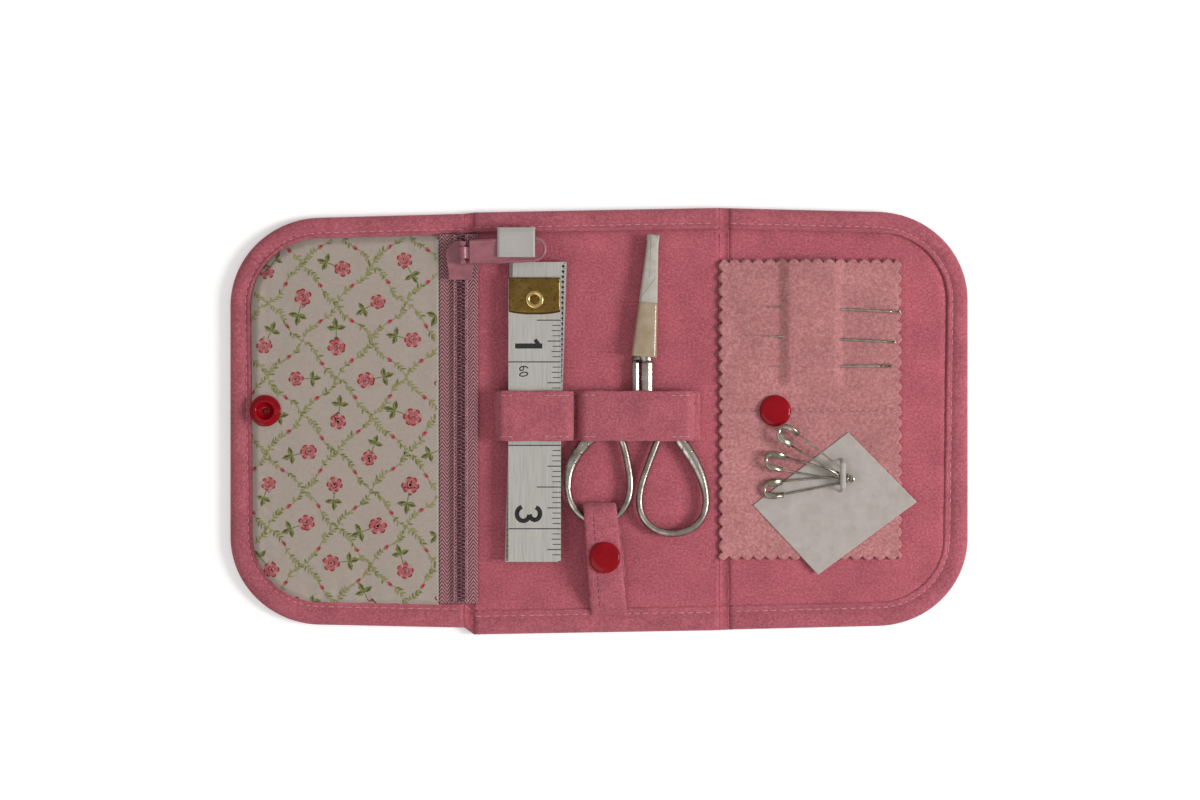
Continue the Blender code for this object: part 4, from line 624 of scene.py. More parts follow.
def pocket_height(x, y, d=None):
    """Top of the pocket front: caught at the rim, soft and slightly rippled in the field."""
    d = rim_distance(-1, x, y) if d is None else d
    up = 2.4 + 2.78 * ease((d - 5.3) / 3.8)
    near_rim = exp(-(((d - 9.0) / 6.0) ** 2))
    gather_in = wave(x * 1.5, y * 0.35 if abs(y) > 30 else y * 1.5, 6.5, 21.0) * near_rim
    roll = wave(x * 1.3, y * 0.5, 15.0, 24.0)
    hem = ease((x + 51.5) / 2.0)
    snap = ease((hypot(x - LEFT_SNAP[0], y - LEFT_SNAP[1]) - 5.5) / 5.0)
    return min(up - (0.42 * abs(gather_in) + 0.42 * max(-roll, 0)) * ease((d - 5) / 3) * (1 - 0.6 * hem)
               * snap, 5.3)


woven_group, woven_in, woven_out, woven_place = value_group(
    "woven threads", (("Threads across", 14000.0), ("Threads along", 14000.0), ("Slub", 0.3)),
                                                            ("Height", "Shade"))
woven_xyz = woven_group.nodes.new("ShaderNodeSeparateXYZ")
woven_group.links.new(woven_place.outputs["Object"], woven_xyz.inputs[0])
warp = math_node(woven_group, "SINE", math_node(
    woven_group, "MULTIPLY", woven_xyz.outputs[0], woven_in.outputs["Threads across"]))
weft = math_node(woven_group, "SINE", math_node(
    woven_group, "MULTIPLY", woven_xyz.outputs[1], woven_in.outputs["Threads along"]))
crossing = math_node(woven_group, "ADD", math_node(
    woven_group, "MULTIPLY", math_node(woven_group, "MULTIPLY", warp, weft), 0.5), 0.5)
slub = noise_node(woven_group, woven_place.outputs["Object"], 900, 3.0)
woven_group.links.new(crossing, woven_out.inputs["Height"])
woven_group.links.new(math_node(woven_group, "ADD", math_node(
    woven_group, "MULTIPLY", crossing, 0.5), math_node(
    woven_group, "MULTIPLY", slub, woven_in.outputs["Slub"])), woven_out.inputs["Shade"])


def woven_cloth(name, dark, light, across, along, lift, roughness=0.85, sheen=0.1):
    """A woven cloth whose threads show in its colour and surface."""
    made, tree, shader = principled(name, light, roughness)
    threads = tree.nodes.new("ShaderNodeGroup")
    threads.node_tree = woven_group
    threads.inputs["Threads across"].default_value = across
    threads.inputs["Threads along"].default_value = along
    tree.links.new(ramp(tree, threads.outputs["Shade"], ((0.12, dark), (0.5, light))),
                   shader.inputs["Base Color"])
    shader.inputs["Sheen Weight"].default_value = sheen
    shader.inputs["Specular IOR Level"].default_value = 0.2
    bump(tree, shader, threads.outputs["Height"], lift)
    return made


cotton = woven_cloth("white cotton", (0.29, 0.24, 0.195), (0.42, 0.355, 0.31), 13500, 13500, 0.05)
PRINT = [woven_cloth("print " + name, tuple(c * 0.5 for c in tint), tuple(c * 0.72 for c in tint), 13500,
                     13500, 0.05) for name, tint in (
    ("pale pink", (0.62, 0.37, 0.34)), ("rose pink", (0.60, 0.17, 0.175)), ("deep red", (0.46, 0.035, 0.05)),
    ("vine green", (0.37, 0.36, 0.14)), ("leaf green", (0.24, 0.25, 0.075)), ("shadow green",
                                                                              (0.10, 0.115, 0.04)))]
PALE, ROSE, DEEP, VINE, LEAF, SHADOW = range(6)

points, faces = slab(-1, 1.0, 110, 190, pocket_height, lambda x, y, d: pocket_height(x, y, d) - 0.5,
                     POCKET_STOP)
pocket = mesh_piece("rose_print_pocket", points, faces, cotton)
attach(pocket, "left_flap")
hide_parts("pocket_front")

print_rng = Random(11)
print_points, print_faces, print_inks = [], [], []


def ink(outline, colour, layer):
    """One printed patch, given as its outline, laid on the pocket's surface."""
    centre_x = sum(p[0] for p in outline) / len(outline)
    centre_y = sum(p[1] for p in outline) / len(outline)
    for x, y in outline:
        if x > POCKET_STOP - 0.15 or rim_distance(-1, x, y) < 6.3:
            return
    start = len(print_points)
    lift = 0.035 + 0.009 * layer
    dense = []
    for a, b in zip(outline, outline[1:] + outline[:1]):
        cuts = max(1, int(hypot(b[0] - a[0], b[1] - a[1]) / 0.7))
        dense += [(a[0] + (b[0] - a[0]) * k / cuts, a[1] + (b[1] - a[1]) * k / cuts) for k in range(cuts)]
    count = len(dense)
    for share in (1.0, 0.5):
        for x, y in dense:
            px, py = centre_x + (x - centre_x) * share, centre_y + (y - centre_y) * share
            print_points.append((px, py, pocket_height(px, py) + lift))
    print_points.append((centre_x, centre_y, pocket_height(centre_x, centre_y) + lift))
    for k in range(count):
        j = (k + 1) % count
        print_faces.append((start + k, start + j, start + count + j, start + count + k))
        print_faces.append((start + count + k, start + count + j, start + 2 * count))
        print_inks.extend((colour, colour))


def turned_to(angle, x, y, points_2d):
    """Turn outline points by an angle and move them to x, y."""
    return [(x + px * cos(angle) - py * sin(angle), y + px * sin(angle) + py * cos(angle)) for px,
            py in points_2d]


def blob(x, y, radius, colour, layer, petals=5, depth=0.16, squeeze=1.0, angle=0.0):
    """A rounded patch with a petalled edge."""
    phase = print_rng.uniform(0, 6)
    shape = []
    for step in range(20):
        turn = 2 * pi * step / 20
        r = radius * (1 + depth * cos(petals * turn + phase) + print_rng.uniform(-0.05, 0.05))
        shape.append((r * cos(turn), r * sin(turn) * squeeze))
    ink(turned_to(angle, x, y, shape), colour, layer)


def crescent(x, y, radius, start, sweep, thick, colour, layer):
    """A curved petal edge: part of a ring, thick in its middle."""
    outer, inner = [], []
    for step in range(7):
        turn = start + sweep * step / 6
        wide = thick * sin(pi * (step + 0.35) / 6.7)
        outer.append((x + (radius + wide / 2) * cos(turn), y + (radius + wide / 2) * sin(turn)))
        inner.append((x + (radius - wide / 2) * cos(turn), y + (radius - wide / 2) * sin(turn)))
    ink(outer + inner[::-1], colour, layer)


def leaflet(x, y, angle, length, width, colour, layer=1):
    """A pointed leaf in one ink."""
    shape = [(0, 0), (length * 0.25, width * 0.42), (length * 0.55, width * 0.5), (length, 0),
             (length * 0.6, -width * 0.45), (length * 0.25, -width * 0.4)]
    ink(turned_to(angle, x, y, shape), colour, layer)


def stem(path, width, colour, layer=0):
    """A thin printed line along a path."""
    for a, b in zip(path, path[1:]):
        dx, dy = b[0] - a[0], b[1] - a[1]
        run = hypot(dx, dy) or 1
        nx, ny = -dy / run * width / 2, dx / run * width / 2
        ink([(a[0] + nx, a[1] + ny), (b[0] + nx, b[1] + ny), (b[0] - nx, b[1] - ny), (a[0] - nx, a[1] - ny)],
            colour, layer)


def rose(x, y, size, turn):
    """An open rose in three inks: pale body, pink petals, red petal edges and heart."""
    blob(x, y, size, PALE, 1, petals=6, depth=0.12, squeeze=0.88, angle=turn)
    for step in range(6):
        angle = turn + 2 * pi * step / 6 + print_rng.uniform(-0.25, 0.25)
        px, py = x + size * 0.62 * cos(angle), y + size * 0.56 * sin(angle)
        blob(px, py, size * 0.36, ROSE, 2, petals=3, depth=0.2, squeeze=0.75, angle=angle)
        crescent(px, py, size * 0.34, angle - 1.2, 2.2, size * 0.17, DEEP, 3)
    for step in range(4):
        angle = turn + 1.1 + 2 * pi * step / 4
        crescent(x + size * 0.1 * cos(angle), y + size * 0.1 * sin(angle), size * (0.42 - 0.07 * step), angle,
                 2.3, size * 0.14, DEEP if step % 2 else ROSE, 4)
    blob(x, y, size * 0.17, DEEP, 5, petals=3)
    for step in range(3):
        angle = turn + 0.5 + 2.1 * step
        crescent(x + size * 0.3 * cos(angle), y + size * 0.3 * sin(angle), size * 0.3, angle + 2.2, 1.6,
                 size * 0.12, PALE, 5)


def spray(x, y, size, turn):
    """A rose with its leaf trio on a short stem."""
    side = turn + pi + print_rng.uniform(-0.5, 0.5)
    lx, ly = x + size * 2.05 * cos(side), y + size * 2.05 * sin(side)
    stem([(x + size * cos(side), y + size * sin(side)), (lx, ly),
          (lx + size * 0.9 * cos(side + 0.5), ly + size * 0.9 * sin(side + 0.5))], 0.28, LEAF)
    for spread, reach in ((-1.35, 1.0), (0.1, 1.15), (1.4, 0.95)):
        angle = side + spread
        leaflet(lx, ly, angle, size * 1.15 * reach, size * 0.62, LEAF, 1)
        leaflet(lx + 0.2 * cos(angle), ly + 0.2 * sin(angle), angle - 0.12, size * 0.98 * reach, size * 0.24,
                SHADOW, 2)
        leaflet(lx + 0.3 * cos(angle), ly + 0.3 * sin(angle), angle + 0.25, size * 0.6 * reach, size * 0.14,
                VINE, 3)
    for spread in (-0.35, 0.0, 0.4):
        leaflet(x - size * 0.75 * cos(side + pi + spread) * -1, y + size * 0.75 * sin(side + spread),
                side + spread,
                size * 0.5, size * 0.2, SHADOW, 0)
    rose(x, y, size, turn)


def rosebud(x, y, angle):
    """A closed bud in a green cup."""
    leaflet(x - 0.7 * cos(angle), y - 0.7 * sin(angle), angle + 0.5, 1.1, 0.5, LEAF, 1)
    leaflet(x - 0.7 * cos(angle), y - 0.7 * sin(angle), angle - 0.5, 1.1, 0.5, LEAF, 1)
    blob(x + 0.3 * cos(angle), y + 0.3 * sin(angle), 0.85, ROSE, 2, petals=2, depth=0.15, squeeze=0.68,
         angle=angle)
    blob(x + 0.45 * cos(angle), y + 0.45 * sin(angle), 0.5, DEEP, 3, petals=2, depth=0.2, squeeze=0.6,
         angle=angle)


def vine(a, b, sway):
    """A climbing stem between two crossings, with paired leaves and a bud near its middle."""
    run = hypot(b[0] - a[0], b[1] - a[1])
    direction = atan2(b[1] - a[1], b[0] - a[0])
    path = []
    for step in range(15):
        share = step / 14
        off = sway * sin(2 * pi * share)
        path.append((a[0] + (b[0] - a[0]) * share - off * sin(direction),
                     a[1] + (b[1] - a[1]) * share + off * cos(direction)))
    bud_at = print_rng.choice((6, 7, 8))
    stem(path[:bud_at + 1], 0.26, VINE)
    stem(path[bud_at + 1:], 0.26, VINE)
    for step in range(1, 14):
        if abs(step - bud_at) < 2:
            continue
        x, y = path[step]
        lean = print_rng.uniform(0.5, 0.95)
        for hand in (-1, 1):
            if print_rng.random() < 0.22:
                continue
            leaflet(x, y, direction + hand * lean, print_rng.uniform(1.2, 1.95), print_rng.uniform(0.5, 0.75),
                    VINE if print_rng.random() < 0.7 else LEAF, 1)
    rosebud(*path[bud_at], direction)


CELL_X, CELL_Y = 10.6, 11.4
for column in range(-1, 7):
    for row in range(-6, 7):
        if (column + row) % 2:
            continue
        node = (-113.0 + CELL_X * column + 1.2, CELL_Y * row + 2.0)
        for hand in (-1, 1):
            vine(node, (node[0] + CELL_X, node[1] + hand * CELL_Y), print_rng.choice((-0.75, 0.75)))
        centre = (node[0] + CELL_X, node[1])
        turn = print_rng.uniform(0, 2 * pi)
        spray(centre[0] + 1.9 * cos(turn), centre[1] + 1.9 * sin(turn), print_rng.uniform(2.2, 2.9), turn)

inked = mesh_piece("rose_print", print_points, print_faces, PRINT)
for face, colour in zip(inked.data.polygons, print_inks):
    face.material_index = colour
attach(inked, "left_flap")

# Zip.
# A nylon coil zip in dusty mauve: two herringbone tapes, each with a coil held on by a row of chain stitch.

ZIP_X = -42.2
ZIP_Y = (-55.4, 57.4)

herringbone, herring_tree, herring_shader = principled("herringbone tape", (0.28, 0.10, 0.12), 0.75)
herring_place = herring_tree.nodes.new("ShaderNodeTexCoord")
herring_xyz = herring_tree.nodes.new("ShaderNodeSeparateXYZ")
herring_tree.links.new(herring_place.outputs["Object"], herring_xyz.inputs[0])
zigzag = math_node(herring_tree, "PINGPONG", herring_xyz.outputs[0], 0.0016)
slanted = math_node(herring_tree, "ADD", herring_xyz.outputs[1],
                    math_node(herring_tree, "MULTIPLY", zigzag, 1.3))
ribs = math_node(herring_tree, "SINE", math_node(herring_tree, "MULTIPLY", slanted, 2 * pi / 0.00115))
rib_share = math_node(herring_tree, "ADD", math_node(herring_tree, "MULTIPLY", ribs, 0.35), 0.5)
rib_fuzz = math_node(herring_tree, "ADD", rib_share, math_node(
    herring_tree, "MULTIPLY", math_node(herring_tree, "SUBTRACT", noise_node(
        herring_tree, herring_place.outputs["Object"], 2500), 0.5), 0.7))
herring_tree.links.new(ramp(herring_tree, rib_fuzz, (
    (0.2, (0.09, 0.022, 0.03)), (0.5, (0.24, 0.085, 0.10)), (0.8, (0.44, 0.21, 0.235)))),
                       herring_shader.inputs["Base Color"])
herring_shader.inputs["Sheen Weight"].default_value = 0.3
bump(herring_tree, herring_shader, rib_share, 0.12)

for name, low_x, high_x, near in (("zip_tape_left", -48.9, -42.45, 1), ("zip_tape_right", -41.95, -37.0, -1)):
    columns, rows = 14, 160
    sheets = []
    for z in (4.76, 4.36):
        for column in range(columns + 1):
            x = low_x + (high_x - low_x) * column / columns
            for row in range(rows + 1):
                y = ZIP_Y[0] + (ZIP_Y[1] - ZIP_Y[0]) * row / rows
                outer = (1 - column / columns) if near > 0 else column / columns
                sheets.append((x, y, z + 0.09 * wave(x, y, 7.0, 31.0) * outer
                               - (0.15 * outer ** 3 if near < 0 else 0)))
    faces = []
    total = (columns + 1) * (rows + 1)
    for column in range(columns):
        for row in range(rows):
            a = column * (rows + 1) + row
            quad = (a, a + rows + 1, a + rows + 2, a + 1)
            faces.append(quad)
            faces.append(tuple(index + total for index in reversed(quad)))
    ring = [column * (rows + 1) for column in range(columns + 1)]
    ring += [columns * (rows + 1) + row for row in range(1, rows + 1)]
    ring += [column * (rows + 1) + rows for column in range(columns - 1, -1, -1)]
    ring += [row for row in range(rows - 1, 0, -1)]
    faces += [(b, a, a + total, b + total) for a, b in zip(ring, ring[1:] + ring[:1])]
    tape = mesh_piece(name.replace("zip_tape", "herringbone"), sheets, faces, herringbone)
    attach(tape, "left_flap")
    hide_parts(name)

nylon, nylon_tree, nylon_shader = principled("dyed nylon", (0.17, 0.055, 0.08), 0.35)
nylon_place = nylon_tree.nodes.new("ShaderNodeTexCoord")
nylon_tone = noise_node(nylon_tree, nylon_place.outputs["Object"], 1400, 2.0)
nylon_tree.links.new(ramp(nylon_tree, nylon_tone, ((0.3, (0.10, 0.03, 0.045)), (0.7, (0.27, 0.10, 0.13)))),
                     nylon_shader.inputs["Base Color"])
nylon_shader.inputs["Coat Weight"].default_value = 0.25
bump(nylon_tree, nylon_shader, nylon_tone, 0.02)


def round_wire(path, radius, sides=6, closed=False, flat=1.0):
    """Points and faces of a round wire along a path of points, in millimetres."""
    path = [Vector(p) for p in path]
    count = len(path)
    rings, normal = [], None
    for index, point in enumerate(path):
        before = path[index - 1] if closed or index else point
        after = path[(index + 1) % count] if closed or index < count - 1 else point
        along = (after - before).normalized()
        if normal is None:
            normal = Vector((0, 0, 1)) if abs(along.z) < 0.9 else Vector((1, 0, 0))
        normal = (normal - along * normal.dot(along)).normalized()
        across = along.cross(normal)
        wide = radius[index] if isinstance(radius, list) else radius
        rings.append([tuple(point + across * wide * cos(2 * pi * s / sides) + normal * wide * flat
                            * sin(2 * pi * s / sides))
                      for s in range(sides)])
    return swept(rings, closed)


for name, hand in (("zip_coil_left", -1), ("zip_coil_right", 1)):
    pitch = 1.15
    turns = int((ZIP_Y[1] - ZIP_Y[0]) / pitch)
    spiral = []
    for step in range(turns * 10):
        angle = 2 * pi * step / 10
        spiral.append((ZIP_X + hand * (0.72 + 0.92 * cos(angle)),
                       ZIP_Y[0] + 0.3 + pitch * (step / 10 + (0.5 if hand > 0 else 0)),
                       5.47 + 0.5 * sin(angle)))
    coil = mesh_piece(name.replace("zip_coil", "spiral"), *round_wire(spiral, 0.21, 5), nylon)
    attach(coil, "left_flap")
    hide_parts(name)

chain_thread = spun_thread("chain thread", (0.46, 0.21, 0.23))
for name, x_at in (("left", -43.95), ("right", -40.45)):
    links_made = []
    y = ZIP_Y[0] + 1
    while y < ZIP_Y[1] - 0.5:
        loop = [(x_at + 0.36 * sin(2 * pi * s / 8), y + 0.66 * cos(2 * pi * s / 8),
                 5.62 + 0.10 * cos(2 * pi * s / 8))
                for s in range(8)]
        links_made.append(round_wire(loop, 0.15, 5, closed=True))
        y += 0.98
    chain = mesh_piece("chain_stitch_" + name, *gather(links_made), chain_thread)
    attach(chain, "left_flap")

# Slider and pull tab.
# Both are die cast and enamelled to match the tape; the tab hangs on the bridge and has a long window.

enamel, enamel_tree, enamel_shader = principled("mauve enamel", (0.32, 0.125, 0.15), 0.38)
enamel_place = enamel_tree.nodes.new("ShaderNodeTexCoord")
enamel_tone = noise_node(enamel_tree, enamel_place.outputs["Object"], 350, 4.0)
enamel_tree.links.new(ramp(enamel_tree, enamel_tone,
                           ((0.35, (0.27, 0.085, 0.105)), (0.7, (0.35, 0.125, 0.15)))),
                      enamel_shader.inputs["Base Color"])
enamel_tree.links.new(ramp(enamel_tree, enamel_tone, ((0.3, (0.3, 0.3, 0.3)), (0.7, (0.46, 0.46, 0.46)))),
                      enamel_shader.inputs["Roughness"])
enamel_shader.inputs["Coat Weight"].default_value = 0.2
bump(enamel_tree, enamel_shader, noise_node(enamel_tree, enamel_place.outputs["Object"], 1500, 2.0), 0.02)


def softened(node, name, width, material, segments=3):
    """A copy of a CAD solid with its edges rounded over."""
    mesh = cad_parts[node].data.copy()
    bm = bmesh.new()
    bm.from_mesh(mesh)
    bmesh.ops.remove_doubles(bm, verts=bm.verts, dist=0.001 * MM)
    bmesh.ops.dissolve_limit(bm, angle_limit=0.03, verts=bm.verts, edges=bm.edges)
    bm.to_mesh(mesh)
    bm.free()
    mesh.materials.clear()
    mesh.materials.append(material)
    for face in mesh.polygons:
        face.use_smooth = True
        face.material_index = 0
    piece = bpy.data.objects.new(name, mesh)
    bpy.context.scene.collection.objects.link(piece)
    edge = piece.modifiers.new("rounded edges", "BEVEL")
    edge.width = width * MM
    edge.segments = segments
    edge.limit_method = "ANGLE"
    edge.angle_limit = 0.6
    edge.harden_normals = False
    even = piece.modifiers.new("even shading", "WEIGHTED_NORMAL")
    even.keep_sharp = True
    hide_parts(node)
    return piece


slider = softened("zip_slider", "cast_slider", 0.28, enamel)
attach(slider, "zip_slider")
tab = softened("zip_pull_tab", "cast_tab", 0.22, enamel)
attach(tab, "zip_pull")
rim_loop = []
for step in range(25):
    angle = pi * (step / 24 - 0.5)
    rim_loop.append((-41.3 + 25.4 - 3.8 + 3.25 * cos(angle), 3.25 * sin(angle)))
rim_loop = [(-39.2, -3.25)] + rim_loop + [(-39.2, 3.25)]
rim_loop = [(x, 51.45 + y + 1.2 * (x + 41.3) / 25.4, 10.2) for x, y in rim_loop]
tab_rim = mesh_piece("tab_rim", *round_wire(rim_loop, 0.5, 10, closed=True, flat=0.72), enamel)
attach(tab_rim, "zip_pull")

# Snap fasteners.
# Glossy red plastic caps and rings, pressed together through cloth; the socket's ring is a bit see-through.

snap_red, snap_tree, snap_shader = principled("red snap plastic", (0.24, 0.001, 0.006), 0.16)
snap_place = snap_tree.nodes.new("ShaderNodeTexCoord")
snap_tone = noise_node(snap_tree, snap_place.outputs["Object"], 260, 2.0)
snap_tree.links.new(ramp(snap_tree, snap_tone, ((0.3, (0.22, 0.001, 0.005)), (0.7, (0.29, 0.002, 0.009)))),
                    snap_shader.inputs["Base Color"])
snap_shader.inputs["Specular IOR Level"].default_value = 0.12
snap_shader.inputs["Coat Weight"].default_value = 0.15
snap_shader.inputs["Coat Roughness"].default_value = 0.12
bump(snap_tree, snap_shader, noise_node(snap_tree, snap_place.outputs["Object"], 900, 2.0), 0.012)


def lathe(centre, profile, steps=48, closed=True):
    """Points and faces of a profile of radius and height, turned about an upright line."""
    rings = [[(centre[0] + r * cos(2 * pi * s / steps), centre[1] + r * sin(2 * pi * s / steps), z)
              for s in range(steps)]
             for r, z in profile]
    points = [p for ring in rings for p in ring]
    faces = []
    last = len(rings) if closed else len(rings) - 1
    for index in range(last):
        after = (index + 1) % len(rings)
        for s in range(steps):
            other = (s + 1) % steps
            faces.append((index * steps + s, index * steps + other, after * steps + other, after * steps + s))
    if not closed:
        faces.append(tuple(reversed(range(steps))))
        faces.append(tuple((len(rings) - 1) * steps + s for s in range(steps)))
    return points, faces


def cap_profile(low, facing, radius, post_end):
    """A domed cap from its post to the middle of its dome."""
    flat = low if facing > 0 else low + 1.2
    shape = ((0.9, post_end), (0.9, flat), (radius - 0.12, flat), (radius, flat + 0.16 * facing),
             (radius, flat + 0.42 * facing),
             (radius * 0.97, flat + 0.66 * facing), (radius * 0.88, flat + 0.88 * facing),
             (radius * 0.72, flat + 1.03 * facing),
             (radius * 0.5, flat + 1.13 * facing), (radius * 0.25, flat + 1.18 * facing),
             (0.05, flat + 1.2 * facing))
    return shape


def stud_profile(face, facing):
    """A flange with the boss that the socket grips, its tip slightly swollen."""
    f = facing
    return ((1.15, face), (4.68, face), (4.8, face + 0.12 * f), (4.8, face + 0.48 * f),
            (4.68, face + 0.6 * f),
            (2.05, face + 0.6 * f), (2.0, face + 1.1 * f), (2.2, face + 1.6 * f), (2.15, face + 2.0 * f),
            (1.9, face + 2.2 * f), (1.15, face + 2.2 * f))


def socket_profile(face):
    """A flange with the ring that grips the stud."""
    return ((1.15, face), (4.68, face), (4.8, face + 0.12), (4.8, face + 0.42), (4.62, face + 0.6),
            (3.75, face + 0.62),
            (3.6, face + 0.8), (3.55, face + 1.4), (3.35, face + 1.6), (2.85, face + 1.6),
            (2.62, face + 1.45),
            (2.6, face + 0.6), (1.25, face + 0.55))


retainer_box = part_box("retainer_snap_front_cap")
RETAINER_SNAP = (sum(corner[0] for corner in retainer_box) / 2 / MM,
                 sum(corner[1] for corner in retainer_box) / 2 / MM)
for node, body, centre, profile, closed in (
    ("left_snap_cap", "left_flap", LEFT_SNAP, cap_profile(0.15, -1, 3.6, 5.6), False),
    ("left_snap_socket", "left_flap", LEFT_SNAP, socket_profile(5.45), True),
    ("right_snap_cap", "right_flap", RIGHT_SNAP, cap_profile(5.05, 1, 4.8, 1.6), False),
    ("right_snap_stud", "right_flap", RIGHT_SNAP, stud_profile(2.35, -1), True),
    ("retainer_snap_back_cap", "middle_panel", RETAINER_SNAP, cap_profile(3.75, -1, 4.8, 6.15), False),
    ("retainer_snap_socket", "middle_panel", RETAINER_SNAP, socket_profile(5.85), True),
    ("retainer_snap_stud", "middle_panel", RETAINER_SNAP, stud_profile(8.8, -1), True),
    ("retainer_snap_front_cap", "middle_panel", RETAINER_SNAP, cap_profile(9.7, 1, 4.8, 7.4), False),
):
    part = outward(mesh_piece(node + "_moulded", *lathe(centre, profile, 48, closed), snap_red))
    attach(part, body)
    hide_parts(node)

# Label.
# A folded satin label is sewn into the top seam and lies over the pull tab; its print is left off.

LABEL_EDGES = (-30.9, -19.2)

satin, satin_tree, satin_shader = principled("white satin", (0.43, 0.41, 0.39), 0.45)
satin_threads = satin_tree.nodes.new("ShaderNodeGroup")
satin_threads.node_tree = woven_group
satin_threads.inputs["Threads across"].default_value = 26000
satin_threads.inputs["Threads along"].default_value = 9000
satin_tree.links.new(ramp(satin_tree, satin_threads.outputs["Shade"], (
    (0.1, (0.37, 0.35, 0.33)), (0.6, (0.46, 0.435, 0.415)))), satin_shader.inputs["Base Color"])
satin_shader.inputs["Sheen Weight"].default_value = 0.3
bump(satin_tree, satin_shader, satin_threads.outputs["Height"], 0.02)

label_line = [(59.4, 4.0), (59.15, 4.05), (58.95, 5.6), (58.85, 7.8), (58.55, 9.5), (58.0, 10.25),
              (57.2, 10.5),
              (56.0, 10.56), (54.0, 10.56), (52.0, 10.57), (50.7, 10.6), (50.25, 10.72), (50.12, 10.84),
              (50.25, 10.95),
              (50.7, 10.86), (52.0, 10.82), (54.0, 10.80), (56.0, 10.80), (57.3, 10.72), (58.2, 10.5),
              (58.9, 9.7),
              (59.2, 8.0), (59.3, 5.6), (59.5, 4.15)]
label_rings = []
for index, (y, z) in enumerate(label_line):
    before, after = label_line[max(index - 1, 0)], label_line[min(index + 1, len(label_line) - 1)]
    run = hypot(after[0] - before[0], after[1] - before[1])
    ny, nz = (after[1] - before[1]) / run, -(after[0] - before[0]) / run
    ring = []
    for face in (1, -1):
        for column in range(13) if face > 0 else range(12, -1, -1):
            share = column / 12
            x = LABEL_EDGES[0] + (LABEL_EDGES[1] - LABEL_EDGES[0]) * share
            curl = 0.55 * share ** 6 * ease((58.0 - y) / 4) + 0.12 * sin(pi * share) * ease((57.5 - y) / 4)
            ring.append((x - 0.25 * share ** 8, y + 0.05 * face * ny, z + 0.05 * face * nz + curl))
    label_rings.append(ring)
label = outward(mesh_piece("satin_label", *swept(label_rings), satin))
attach(label, "middle_panel")
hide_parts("label")

# Tape measure.
# A coated cloth tape in inches is folded back and forth; its end has a stamped brass plate and an eyelet.

TAPE_MID, TAPE_HALF = -19.6, 8.0
TAPE_LOW_Y, TAPE_HIGH_Y = -42.5, 48.9
LEAF_Z, LEAF_PITCH, LEAVES = 3.92, 0.25, 15
FRONT_Z = 8.05
SCALE_ZERO = 43.7
INCH = 25.4


def leaf_shift(leaf, y):
    """How far a leaf of the folded tape has slid sideways at a height."""
    full = sin(pi * (leaf + 0.5) / LEAVES) if leaf < 8 else 0.86 + 0.1 * sin(leaf * 2.1)
    share = (y - TAPE_LOW_Y) / (TAPE_HIGH_Y - TAPE_LOW_Y)
    return full * (-1.2 + 3.0 * share)


coated, coated_tree, coated_shader = principled("coated tape", (0.42, 0.405, 0.375), 0.5)
coated_place = coated_tree.nodes.new("ShaderNodeTexCoord")
coated_map = coated_tree.nodes.new("ShaderNodeMapping")
coated_map.inputs["Scale"].default_value = (1.0, 0.03, 1.0)
coated_tree.links.new(coated_place.outputs["Object"], coated_map.inputs["Vector"])
coated_grain = noise_node(coated_tree, coated_map.outputs[0], 3500, 3.0)
coated_tree.links.new(ramp(coated_tree, coated_grain, (
    (0.35, (0.37, 0.355, 0.325)), (0.5, (0.43, 0.415, 0.385)), (0.7, (0.47, 0.455, 0.425)))),
                      coated_shader.inputs["Base Color"])
coated_shader.inputs["Coat Weight"].default_value = 0.15
bump(coated_tree, coated_shader, coated_grain, 0.02)
aged_tape = principled("aged tape back", (0.30, 0.25, 0.18), 0.6)[0]
black_ink = principled("black scale ink", (0.012, 0.011, 0.012), 0.45)[0]


def front_rise(y):
    """Surface of the front strip, which bows slightly along its length."""
    return FRONT_Z + 0.04 * sin(y * 0.21 + 0.7)


tape_path = []
for leaf in range(LEAVES):
    upward = leaf % 2
    z = LEAF_Z + LEAF_PITCH * leaf
    ends = (TAPE_LOW_Y + 0.3, TAPE_HIGH_Y - 0.3) if upward else (TAPE_HIGH_Y - 0.3, TAPE_LOW_Y + 0.3)
    tape_path += [(ends[0] + (ends[1] - ends[0]) * step / 10, z, leaf) for step in range(11)]
    turn_radius = LEAF_PITCH / 2 if leaf < LEAVES - 1 else (FRONT_Z - z) / 2
    way = 1 if upward else -1
    for step in range(1, 5):
        angle = pi * step / 5
        tape_path.append((ends[1] + way * turn_radius * sin(angle) * 1.2, z + turn_radius * (1 - cos(angle)),
                          leaf + 0.5))
tape_path += [(TAPE_LOW_Y + 0.3 + (43.6 - TAPE_LOW_Y - 0.3) * step / 60, None, LEAVES) for step in range(61)]
tape_rings = []
for index, (y, z, leaf) in enumerate(tape_path):
    before, after = tape_path[max(index - 1, 0)], tape_path[min(index + 1, len(tape_path) - 1)]
    level = front_rise(y) if z is None else z
    slope = (0, 1) if z is None or before[1] is None or after[1] is None else (after[1] - before[1],
                                                                               after[0] - before[0])
    run = hypot(*slope)
    ny, nz = -slope[0] / run, slope[1] / run
    shift = 0 if leaf >= LEAVES else leaf_shift(leaf, y)
    left, right = TAPE_MID - TAPE_HALF + shift, TAPE_MID + TAPE_HALF + shift
    tape_rings.append([(left, y + 0.06 * ny, level + 0.06 * nz), (right, y + 0.06 * ny, level + 0.06 * nz),
                       (right, y - 0.06 * ny, level - 0.06 * nz), (left, y - 0.06 * ny, level - 0.06 * nz)])
ribbon = outward(mesh_piece("folded_tape", *swept(tape_rings), coated, smooth=False))
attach(ribbon, "tape")
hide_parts("tape_measure")

marks = []


def printed(outline, level=None):
    """A flat printed patch on the front strip, or at a given level."""
    points = [(x, y, (front_rise(y) if level is None else level) + 0.075) for x, y in outline]
    marks.append((points, [tuple(range(len(points)))]))


